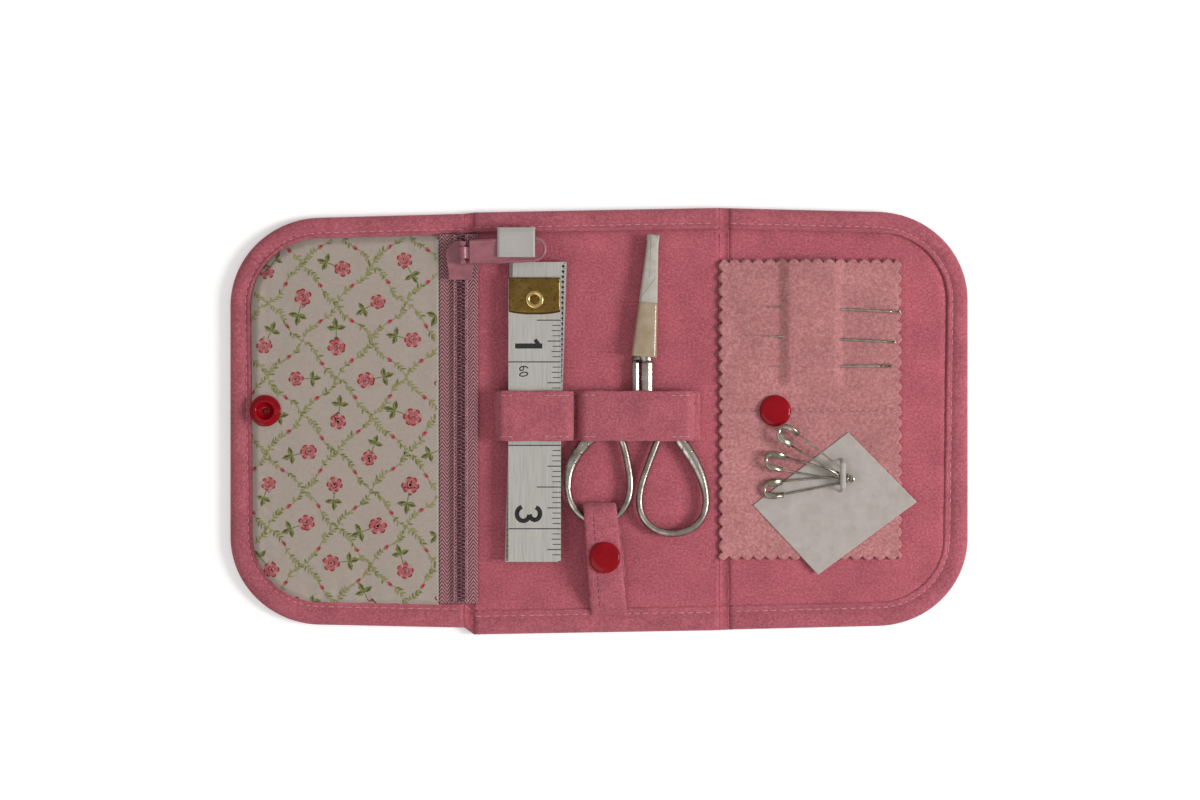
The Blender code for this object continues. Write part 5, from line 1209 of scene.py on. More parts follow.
def printed_line(path, width):
    """A printed stroke along a path."""
    for a, b in zip(path, path[1:]):
        run = hypot(b[0] - a[0], b[1] - a[1]) or 1
        nx, ny = -(b[1] - a[1]) / run * width / 2, (b[0] - a[0]) / run * width / 2
        ex, ey = (b[0] - a[0]) / run * width * 0.15, (b[1] - a[1]) / run * width * 0.15
        printed([(a[0] + nx - ex, a[1] + ny - ey), (a[0] - nx - ex, a[1] - ny - ey),
                 (b[0] - nx + ex, b[1] - ny + ey), (b[0] + nx + ex, b[1] + ny + ey)])


RIGHT_EDGE = TAPE_MID + TAPE_HALF
for sixteenth in range(8, 55):
    y = SCALE_ZERO - INCH * sixteenth / 16
    if y < TAPE_LOW_Y + 0.6:
        break
    if sixteenth % 16 == 0:
        printed_line([(TAPE_MID - TAPE_HALF + 0.1, y), (RIGHT_EDGE - 0.1, y)], 0.32)
    else:
        reach = (7.3 if sixteenth % 8 == 0 else 4.1 if sixteenth % 4 == 0
                 else 2.8 if sixteenth % 2 == 0 else 2.5)
        printed_line([(RIGHT_EDGE - reach, y), (RIGHT_EDGE - 0.1, y)], 0.3 if sixteenth % 4 == 0 else 0.24)


def glyph(strokes, left, high, size, slant=0.0):
    """A number, its top to the right: u runs down the tape and v across it."""
    for path, width in strokes:
        printed_line([(left + (v) * size, high - (u + slant * v) * size) for u, v in path], width * size)


def arc(cu, cv, ru, rv, start, end, count=14):
    """Points round part of an oval."""
    return [(cu + ru * cos(start + (end - start) * k / count),
             cv + rv * sin(start + (end - start) * k / count))
            for k in range(count + 1)]


ONE = [([(0.25, 0.0), (0.25, 1.0)], 0.20), ([(0.25, 0.93), (0.02, 0.76)], 0.15)]
TWO = [(arc(0.28, 0.70, 0.25, 0.24, pi * 0.95, -0.35), 0.17), ([(0.50, 0.60), (0.08, 0.08)], 0.17),
       ([(0.02, 0.085), (0.58, 0.085)], 0.17)]
THREE = [(arc(0.26, 0.73, 0.24, 0.2, pi * 0.9, -pi * 0.42), 0.17),
         (arc(0.27, 0.29, 0.27, 0.24, pi * 0.42, -pi * 0.9), 0.17)]
glyph(ONE, -25.3, 25.1, 7.8)
glyph(TWO, -25.3, -0.3, 7.8)
glyph(THREE, -25.4, -25.8, 8.0)
SIX = [(arc(0.26, 0.27, 0.2, 0.22, 0, 2 * pi, 16), 0.12),
       (arc(0.42, 0.36, 0.36, 0.58, pi * 0.98, pi * 0.6, 8), 0.12)]
NOUGHT = [(arc(0.26, 0.47, 0.2, 0.43, 0, 2 * pi, 18), 0.12)]
glyph(SIX, -24.3, 16.9, 2.9, -0.15)
glyph(NOUGHT, -24.3, 15.1, 2.9, -0.15)
leaf_face = LEAF_Z + LEAF_PITCH * (LEAVES - 1) - 0.01
y = 3.0
while y < TAPE_HIGH_Y - 0.8:
    edge = RIGHT_EDGE + leaf_shift(LEAVES - 1, y)
    wide = max(leaf_shift(LEAVES - 1, y) - 0.15, 0)
    if wide > 0.3:
        half = min(0.55, wide / 2)
        mid = edge - 0.1 - half
        printed([(mid - half, y), (mid, y - 0.62), (mid + half, y), (mid, y + 0.62)], leaf_face)
        printed([(edge - 0.5, y + 0.78), (edge - 0.1, y + 0.78), (edge - 0.1, y + 1.0),
                 (edge - 0.5, y + 1.0)], leaf_face)
    y += 1.5875
y = -41.0
while y < -20.0:
    edge = TAPE_MID - TAPE_HALF + leaf_shift(LEAVES - 1, y)
    printed([(edge + 0.2, y), (edge + 0.55, y), (edge + 0.55, y + 0.35), (edge + 0.2, y + 0.35)], leaf_face)
    y += 1.5875
scale = mesh_piece("tape_scale", *gather(marks), black_ink, smooth=False)
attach(scale, "tape")
back_points = [(TAPE_MID - TAPE_HALF + leaf_shift(LEAVES - 1, y) + aside, y, leaf_face + 0.072)
               for y in (TAPE_LOW_Y + 0.8, -30.0, -18.0, -8.0) for aside in (0.02, 1.3)]
tape_back = mesh_piece("tape_back_edge", back_points, [(0, 1, 3, 2), (2, 3, 5, 4), (4, 5, 7, 6)], aged_tape,
                       smooth=False)
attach(tape_back, "tape")

brass, brass_tree, brass_shader = principled("stamped brass", (0.36, 0.24, 0.075), 0.36, 1.0)
brass_place = brass_tree.nodes.new("ShaderNodeTexCoord")
pits = brass_tree.nodes.new("ShaderNodeTexVoronoi")
pits.inputs["Scale"].default_value = 900
brass_tree.links.new(brass_place.outputs["Object"], pits.inputs["Vector"])
tarnish = noise_node(brass_tree, brass_place.outputs["Object"], 230, 5.0)
pitted = ramp(brass_tree, pits.outputs["Distance"], ((0.16, (0.25, 0.25, 0.25)), (0.3, (1.0, 1.0, 1.0))))
worn = ramp(brass_tree, tarnish,
            ((0.35, (0.15, 0.085, 0.02)), (0.55, (0.23, 0.14, 0.038)), (0.72, (0.30, 0.19, 0.06))))
brass_tree.links.new(blend_colour(brass_tree, "MULTIPLY", 0.75, worn, pitted),
                     brass_shader.inputs["Base Color"])
brass_tree.links.new(ramp(brass_tree, tarnish, ((0.3, (0.5, 0.5, 0.5)), (0.7, (0.3, 0.3, 0.3)))),
                     brass_shader.inputs["Roughness"])
bump(brass_tree, brass_shader, pits.outputs["Distance"], 0.04)
bright_brass = principled("bright brass", (0.72, 0.50, 0.20), 0.22, 1.0)[0]

EYELET = (-19.6, 37.3)
plate_rings = []
plate_line = [(0.0, 8.2), (0.08, 8.38), (0.25, 8.38), (0.75, 8.38), (0.95, 8.36), (0.985, 8.28), (1.0, 8.05),
              (0.985, 7.82),
              (0.95, 7.74), (0.75, 7.72), (0.0, 7.72), (0.0, 7.9), (0.75, 7.9), (0.94, 7.93), (0.955, 8.05),
              (0.94, 8.17),
              (0.75, 8.19), (0.3, 8.19)]
for column in range(33):
    x = TAPE_MID - 7.8 + 15.6 * column / 32
    side = abs(column - 16) / 16
    low = 32.75 + 0.75 * side ** 2.5
    rim = 0.25 * ease((side - 0.9) / 0.1)
    plate_rings.append([(x, low + (44.0 - low) * share, 8.05 + (z - 8.05) * (1 - rim)) for share,
                        z in plate_line])
plate = outward(mesh_piece("brass_end_plate", *swept(plate_rings), brass))
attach(plate, "tape")
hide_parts("tape_end_plate")
eyelet = outward(mesh_piece("rolled_eyelet", *lathe(EYELET, (
    (1.35, 7.75), (1.75, 7.75), (1.78, 8.4), (2.55, 8.42), (2.7, 8.5), (2.68, 8.64), (2.45, 8.76),
                                                             (2.1, 8.79), (1.75, 8.72),
    (1.5, 8.55), (1.36, 8.3)), 48), bright_brass))
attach(eyelet, "tape")
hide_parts("tape_eyelet")
# A near-black disc sits inside the eyelet's hole as painted shade, standing in for the shadowed bore.
eyelet_shade_disc = mesh_piece("eyelet_painted_shade_disc", *lathe(EYELET, ((0.02, 7.9), (1.33, 7.9), (1.34, 7.96), (0.02, 7.96)), 32),
                  principled(
    "eyelet shade", (0.05, 0.03, 0.015), 0.7)[0])
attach(eyelet_shade_disc, "tape")

# Tool strap.
# A double band of the suede cloth is sewn down at three places, with rows of stitches along its edges.

STRAP_LOW, STRAP_HIGH = -5.8, 9.5
strap_line = [(-32.1, 4.0), (-31.5, 4.02), (-31.1, 4.35), (-30.95, 5.4), (-30.8, 7.4), (-30.3, 8.75),
              (-29.2, 9.2),
              (-26.0, 9.26), (-19.6, 9.26), (-13.0, 9.26), (-10.0, 9.2), (-8.7, 8.7), (-8.2, 7.3),
              (-7.98, 5.6), (-7.8, 4.4),
              (-7.5, 4.02), (-6.9, 4.05), (-6.4, 4.6), (-5.9, 6.0), (-5.2, 7.2), (-4.0, 7.66), (0.0, 7.75),
              (8.0, 7.78),
              (16.0, 7.78), (22.0, 7.74), (26.6, 7.62), (27.8, 7.1), (28.2, 5.8), (28.4, 4.6), (28.8, 4.06),
              (29.6, 4.02),
              (31.0, 4.02)]


def strap_rise(x):
    """Middle of the strap cloth along its length."""
    for (x0, z0), (x1, z1) in zip(strap_line, strap_line[1:]):
        if x <= x1:
            return z0 + (z1 - z0) * (x - x0) / (x1 - x0)
    return strap_line[-1][1]


dense_line = []
for (x0, z0), (x1, z1) in zip(strap_line, strap_line[1:]):
    cuts = max(1, int(hypot(x1 - x0, z1 - z0) / 0.8))
    dense_line += [(x0 + (x1 - x0) * k / cuts, z0 + (z1 - z0) * k / cuts) for k in range(cuts)]
dense_line.append(strap_line[-1])
strap_rings = []
for index, (x, z) in enumerate(dense_line):
    before, after = dense_line[max(index - 1, 0)], dense_line[min(index + 1, len(dense_line) - 1)]
    run = hypot(after[0] - before[0], after[1] - before[1])
    nx, nz = -(after[1] - before[1]) / run, (after[0] - before[0]) / run
    ring = []
    low_y = STRAP_LOW + 0.10 * sin(x * 0.55) + 0.06 * sin(x * 1.9)
    high_y = STRAP_HIGH + 0.10 * sin(x * 0.47 + 2.0) + 0.06 * sin(x * 1.7 + 1.0)
    for face in (1, -1):
        for step in range(25) if face > 0 else range(24, -1, -1):
            share = step / 24
            y = low_y + (high_y - low_y) * share
            edge = min(share, 1 - share) * 15.3
            half = 0.30 * sqrt(max(1 - max(0.35 - edge, 0) ** 2 / 0.1225, 0.0)) + 0.02
            seam = 0.16 * exp(-((edge - 1.35) / 0.45) ** 2) * (1 if face > 0 else 0)
            soft = 0.05 * wave(x * 1.2, y, 5.0, 61.0) if face > 0 else 0
            off = (half - seam + soft) if face > 0 else -min(half, 0.27)
            ring.append((x + nx * off, y, z + nz * off))
    strap_rings.append(ring)
strap = outward(mesh_piece("suede_strap", *swept(strap_rings), suede_rim))
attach(strap, "middle_panel")
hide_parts("tool_strap")

strap_thread = spun_thread("strap thread", (0.55, 0.24, 0.27))
strap_runs = []
for low_x, high_x in ((-30.0, -26.5), (-16.8, -9.6), (-4.8, -2.2), (22.0, 27.2)):
    for y in (STRAP_LOW + 1.35, STRAP_HIGH - 1.35):
        x = low_x
        while x < high_x:
            strap_runs.append(thread_run([(x, y, strap_rise(x) + 0.27),
                                          (x + 1.5, y, strap_rise(x + 1.5) + 0.27)], 0.16, 0.14))
            x += 2.1
for x_at, z_at in ((-7.6, 4.35), (28.75, 4.42)):
    y = STRAP_LOW + 0.9
    side = 1
    while y < STRAP_HIGH - 0.9:
        strap_runs.append(thread_run([(x_at - 0.38 * side, y, z_at), (x_at + 0.38 * side, y + 1.0, z_at)],
                                     0.15, 0.08))
        side = -side
        y += 1.05
strap_stitches = mesh_piece("strap_stitches", *gather(strap_runs), strap_thread)
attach(strap_stitches, "middle_panel")

# Scissors.
# Forged nickel-plated embroidery scissors: wire rings, engraved shoulders, fluted shanks and slim blades.

TOOL_Z = 6.0
RING_LEFT = (0.0, -16.4, 9.4, 14.0, 3.2, 0.2)
RING_RIGHT = (22.5, -17.9, 9.1, 16.1, -2.0, 0.55)

nickel, nickel_tree, nickel_shader = principled("aged nickel with painted edge shade", (0.42, 0.37, 0.33), 0.28, 1.0)
nickel_place = nickel_tree.nodes.new("ShaderNodeTexCoord")
nickel_wear = noise_node(nickel_tree, nickel_place.outputs["Object"], 260, 5.0)
nickel_fine = noise_node(nickel_tree, nickel_place.outputs["Object"], 1800, 3.0)
# The metal darkens as its surface turns away from the view: painted shade and painted dark reflection on the
# sides of the rounded bars, multiplied over the wear tones.
nickel_facing = nickel_tree.nodes.new("ShaderNodeLayerWeight")
nickel_facing.inputs["Blend"].default_value = 0.42
nickel_dark = ramp(nickel_tree, nickel_wear,
                   ((0.32, (0.20, 0.165, 0.14)), (0.52, (0.40, 0.35, 0.31)), (0.7, (0.58, 0.54, 0.5))))
nickel_painted_edge_shade = ramp(nickel_tree, nickel_facing.outputs["Facing"],
                   ((0.1, (1.0, 1.0, 1.0)), (0.75, (0.34, 0.32, 0.31))))
nickel_tree.links.new(blend_colour(nickel_tree, "MULTIPLY", 0.9, nickel_dark, nickel_painted_edge_shade),
                      nickel_shader.inputs["Base Color"])
nickel_tree.links.new(ramp(nickel_tree, nickel_wear, ((0.35, (0.42, 0.42, 0.42)), (0.7, (0.2, 0.2, 0.2)))),
                      nickel_shader.inputs["Roughness"])
bump(nickel_tree, nickel_shader, nickel_fine, 0.02)


def ring_place(ring, angle):
    """Centre line of a drop-shaped finger ring."""
    high = cos(angle)
    return (ring[0] + ring[2] * sin(angle) * (1 - ring[5] * high) + ring[4] * max(high, 0) ** 2,
            ring[1] + ring[3] * high, TOOL_Z)


def shoulder(angle, outer):
    """How much the wire swells over the engraved shoulder."""
    return min(1.0, 1.4 * max(0.0, sin(outer * angle)) * max(0.0, cos(angle) + 0.3))


def bar(path, widths, height, sides=14, flutes=0, closed=False):
    """A forged bar: an oval or fluted section along a path."""
    rings = []
    count = len(path)
    for index, place in enumerate(path):
        before = path[index - 1] if closed or index else place
        after = path[(index + 1) % count] if closed or index < count - 1 else place
        along = (Vector(after) - Vector(before)).normalized()
        across = Vector((along.y, -along.x, 0)).normalized()
        ring = []
        for side in range(sides):
            angle = 2 * pi * side / sides
            groove = 1 - 0.11 * (0.5 + 0.5 * cos(flutes * angle)) if flutes else 1
            tall = height[index] if isinstance(height, list) else height
            ring.append(tuple(Vector(place) + across * widths[index] * groove * cos(angle)
                              + Vector((0, 0, 1)) * tall * groove * sin(angle)))
        rings.append(ring)
    return swept(rings, closed)


def bezier(a, b, c, d, count):
    """Points along a cubic curve."""
    out = []
    for k in range(count + 1):
        t = k / count
        out.append(tuple(a[i] * (1 - t) ** 3 + 3 * b[i] * t * (1 - t) ** 2 + 3 * c[i] * t * t * (1 - t)
                         + d[i] * t ** 3
                         for i in range(3)))
    return out


for side, body, ring, outer, shank_x, shank_wide, shank_tall, low in (
    ("left", "scissors", RING_LEFT, -1, 11.2, 1.2, 1.02, 4.8),
    ("right", "scissor_right", RING_RIGHT, 1, 14.7, 1.85, 1.3, 6.05),
):
    solids = []
    steps = 128
    path = [ring_place(ring, 2 * pi * s / steps) for s in range(steps)]
    widths = [1.1 + 0.65 * shoulder(2 * pi * s / steps, outer) for s in range(steps)]
    solids.append(bar(path, widths, 1.1, 16, 0, True))
    apex = (ring[0] + ring[4], ring[1] + ring[3] - 0.275, TOOL_Z)
    top = (shank_x + 0.03, 18.6, TOOL_Z)
    curve = bezier(apex, (apex[0] + (shank_x - apex[0]) * 0.55, apex[1] + 3.6, TOOL_Z),
                   (shank_x, 6.4, TOOL_Z), (shank_x, 8.6, TOOL_Z), 16)
    curve += [(shank_x, 8.6 + (18.6 - 8.6) * k / 12, TOOL_Z) for k in range(1, 13)]
    grow = [1.21 + (shank_wide - 1.21) * ease(k / 12) for k in range(len(curve))]
    solids.append(bar(curve, grow, shank_tall, 24, 6))
    high = low + 1.15
    solids.append(swept([[(x0, y, z0 + 0.06 * zs) for x0, z0, zs in (
        (shank_x + (13.6 - shank_x) * share - wide, low,
         1), (shank_x + (13.6 - shank_x) * share - wide * 0.82, high, -1),
        (shank_x + (13.6 - shank_x) * share + wide * 0.82, high,
         -1), (shank_x + (13.6 - shank_x) * share + wide, low, 1))]
        for y, share, wide in ((18.0, 0.0, shank_wide * 0.8), (19.2, 0.3, 1.75), (20.6, 0.7, 2.1),
                               (21.9, 1.0, 2.34))]))
    solids.append(lathe((13.6, 23.2),
                        ((1.05, low + 0.03), (2.4, low + 0.03), (2.6, low + 0.2), (2.6, high - 0.2),
                                      (2.4, high - 0.03), (1.05, high - 0.03)), 36))
    reach = Vector((2.8, 32.8, 0)).normalized()
    flat = Vector((reach.y, -reach.x, 0))
    blade = []
    for share in (0.07, 0.3, 0.6, 0.85, 1.0):
        middle = Vector((13.6, 23.2, 0)) + reach * 32.9 * share
        wide = (2.3 + (0.4 - 2.3) * share)
        blade.append([tuple(middle + flat * wide * k + Vector((0, 0, z))) for k, z in (
            (-1, low + 0.05), (-0.9, high - 0.05), (0.0, high), (1.0, low + 0.3), (0.9, low + 0.03))])
    solids.append(swept(blade))
    leaves_cut = []
    for k in range(9):
        angle = outer * (0.28 + 0.12 * k)
        place = ring_place(ring, angle)
        ahead = ring_place(ring, angle + outer * 0.04)
        run = (Vector(ahead) - Vector(place)).normalized()
        across = Vector((run.y, -run.x, 0))
        wide = 1.1 + 0.65 * shoulder(angle, outer)
        hand = 1 if k % 2 else -1
        start = Vector(place) + across * wide * 0.12 * hand - run * 0.5
        end = Vector(place) + across * wide * 0.78 * hand + run * 0.75
        leaves_cut.append(thread_run([tuple(start + Vector((0, 0, 1.08))),
                                      tuple(end + Vector((0, 0, 0.74)))], 0.27, 0.2))
    solids += leaves_cut
    half = outward(mesh_piece("forged_half_" + side, *gather(solids), nickel))
    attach(half, body)
    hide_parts("scissor_half_" + side)
screw = softened("scissor_screw", "slotted_screw", 0.12, nickel)
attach(screw, "scissors")

# Sheath.
# A sleeve of thin white paper is folded round the blades and closed at its mouth with a turn of clear tape.

sheath_paper, sheath_tree, sheath_shader = principled("sheath paper", (0.43, 0.40, 0.355), 0.8)
sheath_place = sheath_tree.nodes.new("ShaderNodeTexCoord")
sheath_tone = noise_node(sheath_tree, sheath_place.outputs["Object"], 420, 4.0)
sheath_tree.links.new(ramp(sheath_tree, sheath_tone,
                           ((0.3, (0.38, 0.35, 0.305)), (0.65, (0.46, 0.43, 0.385)))),
                      sheath_shader.inputs["Base Color"])
bump(sheath_tree, sheath_shader, noise_node(sheath_tree, sheath_place.outputs["Object"], 1400, 3.0), 0.04)
clear_tape, clear_tree, clear_shader = principled("yellowed clear tape", (0.56, 0.47, 0.34), 0.25)
clear_place = clear_tree.nodes.new("ShaderNodeTexCoord")
clear_tone = noise_node(clear_tree, clear_place.outputs["Object"], 160, 3.0)
clear_tree.links.new(ramp(clear_tree, clear_tone, ((0.35, (0.31, 0.22, 0.135)), (0.65, (0.40, 0.30, 0.205)))),
                     clear_shader.inputs["Base Color"])
clear_shader.inputs["Coat Weight"].default_value = 0.6
clear_shader.inputs["Coat Roughness"].default_value = 0.15

SLEEVE_LOW, SLEEVE_TIP = Vector((13.7, 19.9, 6.15)), Vector((16.6, 57.1, 6.0))


def sleeve_ring(share, extra=0.0, sides=48):
    """Section of the sheath at a share of its length, pleated at its mouth and pinched at its tip."""
    along = (SLEEVE_TIP - SLEEVE_LOW).normalized()
    across = along.cross(Vector((0, 0, 1))).normalized()
    middle = SLEEVE_LOW.lerp(SLEEVE_TIP, share)
    wide = 7.8 + (3.2 - 7.8) * share + 0.75 * ease((share - 0.9) / 0.1)
    tall = 4.4 + (3.45 - 4.4) * share - 1.6 * ease((share - 0.965) / 0.035)
    ring = []
    for side in range(sides):
        angle = 2 * pi * (side + 0.5) / sides
        square = max(abs(cos(angle)), abs(sin(angle))) ** 0.6
        pleat = 0.14 * cos(7 * angle + 1.0) * ease((0.16 - share) / 0.16)
        pleat -= 0.10 * (1 + cos(5 * angle)) * ease((share - 0.9) / 0.1)
        ring.append(tuple(middle + across * (wide / 2 + extra + min(pleat, 0)) * cos(angle) / square
                          + Vector((0, 0, 1)) * (tall / 2 + extra + min(pleat, 0)) * sin(angle) / square))
    return ring


shares = [k / 44 for k in range(45)]
sleeve = outward(mesh_piece("folded_sheath", *swept(
    [sleeve_ring(share, -0.28) for share in (0.985, 0.93, 0.7, 0.4, 0.1, 0.0)]
    + [sleeve_ring(share) for share in shares]),
    sheath_paper))
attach(sleeve, "sheath")
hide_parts("blade_sheath")
wrap_shares = [0.0 + 0.445 * k / 20 for k in range(21)]
wrap = outward(mesh_piece("sheath_tape_wrap", *swept(
    [sleeve_ring(share, 0.015) for share in reversed(wrap_shares)]
    + [sleeve_ring(share, 0.07) for share in wrap_shares],
    True), clear_tape))
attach(wrap, "sheath")


def sleeve_top(x, y):
    """Height of the sheath's upper face."""
    share = (y - 19.9) / 37.2
    centre = 13.7 + 2.9 * share
    wide = (7.8 + (3.2 - 7.8) * share) / 2
    tall = (4.4 + (3.45 - 4.4) * share) / 2
    turn = min(abs(x - centre) / wide, 0.98)
    return 6.15 - 0.15 * share + tall * (1 if turn < 0.55
                                         else sqrt(max(1 - ((turn - 0.55) / 0.45) ** 2 * 0.8, 0.1)))


# Thin raised wires lie along the paper's folded edges in the darker clear-tape colour: the edges are real,
# and their dark line is painted shade.
fold_shade_lines = []
for a, b in (((15.0, 52.6), (17.1, 54.2)), ((12.7, 37.9), (17.6, 44.3)), ((15.4, 44.0), (15.9, 56.6))):
    steps = [(a[0] + (b[0] - a[0]) * k / 12, a[1] + (b[1] - a[1]) * k / 12) for k in range(13)]
    fold_shade_lines.append(round_wire([(x, y, sleeve_top(x, y) - 0.01) for x, y in steps], 0.06, 5))
fold_shade_wires = mesh_piece("sheath_fold_shade_wires", *gather(fold_shade_lines), clear_tape)
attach(fold_shade_wires, "sheath")

# Retainer loop.
# A suede strip sewn in the bottom seam passes through the left finger ring and snaps to itself in front.

retainer_line = [(-60.6, 2.55), (-59.6, 2.6), (-58.6, 3.4), (-57.2, 4.7), (-55.0, 5.9), (-52.0, 7.2),
                 (-49.5, 8.2), (-47.5, 8.85),
                 (-46.0, 9.15), (-41.2, 9.25), (-34.0, 9.25), (-29.5, 9.22), (-27.4, 9.1), (-26.0, 8.4),
                 (-25.15, 7.2),
                 (-25.0, 6.2), (-25.4, 5.2), (-26.4, 4.5), (-27.8, 4.25), (-31.0, 4.22), (-33.5, 4.3),
                 (-34.8, 4.9),
                 (-36.2, 5.45), (-39.0, 5.62), (-47.3, 5.62)]


def retainer_span(y):
    """Left and right edges of the strip at a height."""
    share = min(max((-25.0 - y) / 36.0, 0), 1)
    centre = 0.2 + 3.0 * share
    half = (10.1 + 1.2 * share) / 2
    return centre - half, centre + half


retainer_rings = []
long_line = []
for (y0, z0), (y1, z1) in zip(retainer_line, retainer_line[1:]):
    cuts = max(1, int(hypot(y1 - y0, z1 - z0) / 0.9))
    long_line += [(y0 + (y1 - y0) * k / cuts, z0 + (z1 - z0) * k / cuts) for k in range(cuts)]
long_line.append(retainer_line[-1])
for index, (y, z) in enumerate(long_line):
    before, after = long_line[max(index - 1, 0)], long_line[min(index + 1, len(long_line) - 1)]
    run = hypot(after[0] - before[0], after[1] - before[1])
    ny, nz = -(after[1] - before[1]) / run, (after[0] - before[0]) / run
    left, right = retainer_span(y)
    behind = index > len(long_line) * 0.6
    if behind:
        right += 0.85 * ease((-30.5 - y) / 2.5)
        left += 0.3
    left += 0.08 * sin(y * 1.3)
    right += 0.08 * sin(y * 1.1 + 1.0) + (0.12 * noise.noise((y * 3.0, 2.0, 0)) if behind else 0)
    ring = []
    for face in (1, -1):
        for column in range(17) if face > 0 else range(16, -1, -1):
            share = column / 16
            edge = min(share, 1 - share) * (right - left)
            half = 0.28 * sqrt(max(1 - max(0.35 - edge, 0) ** 2 / 0.1225, 0)) + 0.02
            dip = 0.14 * exp(-((edge - 3.0) / 0.4) ** 2) if face > 0 and share < 0.5 and not behind else 0
            ring.append((left + (right - left) * share, y + ny * (half - dip) * face,
                         z + nz * (half - dip) * face))
    retainer_rings.append(ring)
retainer = outward(mesh_piece("suede_loop", *swept(retainer_rings), suede_rim))
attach(retainer, "middle_panel")
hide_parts("retainer_loop")
loop_thread = spun_thread("retainer thread", (0.16, 0.02, 0.03))
loop_runs = []
y = -26.8
while y > -56.5:
    left, right = retainer_span(y)
    z = next(z0 + (z1 - z0) * (y - y0) / (y1 - y0) for (y0, z0),
             (y1, z1) in zip(retainer_line, retainer_line[1:]) if y <= y1)
    z_next = next(z0 + (z1 - z0) * (y - 1.5 - y0) / (y1 - y0)
                  for (y0, z0), (y1, z1) in zip(retainer_line, retainer_line[1:]) if y - 1.5 <= y1)
    loop_runs.append(thread_run([(left + 3.0, y, z + 0.24), (left + 3.0, y - 1.5, z_next + 0.24)], 0.15,
                                0.12))
    y -= 2.0
fray_rng = Random(5)
for k in range(60):
    y = -33.0 - 0.24 * k
    right = retainer_span(y)[1] + 0.75
    loop_runs.append(thread_run([(right - 0.2, y, 5.75),
                                 (right + fray_rng.uniform(0.1, 0.55), y + fray_rng.uniform(-0.4, 0.4),
                                                          5.6 + fray_rng.uniform(-0.2, 0.3))], 0.05, 0.02, 4))
loop_stitches = mesh_piece("retainer_stitches", *gather(loop_runs), loop_thread)
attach(loop_stitches, "middle_panel")

# Felt pages.
# One piece of pale pink felt with pinked edges, sewn down along one line, makes a needle page and a pin page.

FELT_LEFT, FELT_RIGHT, FELT_TOP, FELT_LOW = 36.5, 92.6, 49.8, -42.2
FELT_SEWN = 3.7

felt = brushed_cloth("pink felt", (0.36, 0.125, 0.13), (0.45, 0.185, 0.19), (0.57, 0.275, 0.275), 2600, 60,
                     0.16, 0.25)


def pinking(place, pitch, depth):
    """Depth of a scalloped cut at a place along an edge."""
    share = (place / pitch) % 1.0
    return depth * (abs(sin(pi * share)) ** 0.8 * -1 + 1)


def felt_top(x, y):
    """Upper face of the felt, raised where the needles lift it."""
    rise = ease((x - 54.3) / 4.2) * (1 - ease((x - 71.6) / 3.4)) * ease((y - 9.6) / 5.0)
    crest = 0.75 + 0.25 * sin(pi * min(max((x - 55) / 20, 0), 1))
    soft = 0.10 * wave(x, y, 11.0, 41.0) + 0.05 * wave(x, y, 4.0, 43.0)
    sewn = 0.5 * exp(-((y - FELT_SEWN) / 0.7) ** 2)
    return 4.82 + soft * (1 - 0.8 * rise) + 2.0 * rise * crest - sewn


def felt_sheet(name, low_y, high_y, pinked_low, pinked_high):
    """A sheet of felt as a closed solid."""
    columns, rows = 190, int((high_y - low_y) / 0.36)
    tops, lows = [], []
    for column in range(columns + 1):
        for row in range(rows + 1):
            share_x, share_y = column / columns, row / rows
            x = FELT_LEFT + (FELT_RIGHT - FELT_LEFT) * share_x
            y = low_y + (high_y - low_y) * share_y
            cut_left, cut_right = pinking(y + 0.8, 3.9, 1.35), pinking(y + 2.2, 3.7, 1.35)
            cut_top = pinking(x, 3.6, 1.3) if pinked_high else 0
            cut_low = pinking(x + 1.0, 3.7, 1.3) if pinked_low else 0
            fade = 2.6
            x += cut_left * max(1 - (x - FELT_LEFT) / fade, 0) - cut_right * max(1 - (FELT_RIGHT - x) / fade,
                                                                                 0)
            y += cut_low * max(1 - (y - low_y) / fade, 0) - cut_top * max(1 - (high_y - y) / fade, 0)
            edge = min(column, columns - column, row if pinked_low else 99, rows - row if pinked_high else 99)
            round_off = (0.34, 0.10, 0.0)[min(edge, 2)]
            top = felt_top(x, y)
            tops.append((x, y, top - round_off))
            lows.append((x, y, max(top - 1.0, 3.88) + round_off * 0.6))
    total = (columns + 1) * (rows + 1)
    faces = []
    for column in range(columns):
        for row in range(rows):
            a = column * (rows + 1) + row
            quad = (a, a + rows + 1, a + rows + 2, a + 1)
            faces.append(quad)
            faces.append(tuple(index + total for index in reversed(quad)))
    ring = [column * (rows + 1) for column in range(columns + 1)]
    ring += [columns * (rows + 1) + row for row in range(1, rows + 1)]
    ring += [column * (rows + 1) + rows for column in range(columns - 1, -1, -1)]
    ring += [row for row in range(rows - 1, 0, -1)]
    faces += [(b, a, a + total, b + total) for a, b in zip(ring, ring[1:] + ring[:1])]
    return mesh_piece(name, tops + lows, faces, felt)


needle_felt = felt_sheet("felt_needle_leaf", FELT_SEWN, FELT_TOP, False, True)
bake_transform(needle_felt)
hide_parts("felt_needle_page", "felt_seam_band")
pin_felt = felt_sheet("felt_pin_leaf", FELT_LOW, FELT_SEWN, True, False)
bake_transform(pin_felt)
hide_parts("felt_pin_page")

felt_thread = spun_thread("felt thread", (0.62, 0.30, 0.34))
felt_runs = []
x = FELT_LEFT + 1.4
while x < FELT_RIGHT - 2.2:
    if abs(x + 0.75 - RIGHT_SNAP[0]) > 6.0:
        z = felt_top(x, FELT_SEWN)
        felt_runs.append(thread_run([(x, FELT_SEWN, z + 0.12),
                                     (x + 1.5, FELT_SEWN + 0.08 * sin(x), z + 0.12)], 0.15, 0.2))
    x += 2.15
felt_stitches = mesh_piece("felt_stitches", *gather(felt_runs), felt_thread)
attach(felt_stitches, "right_flap")

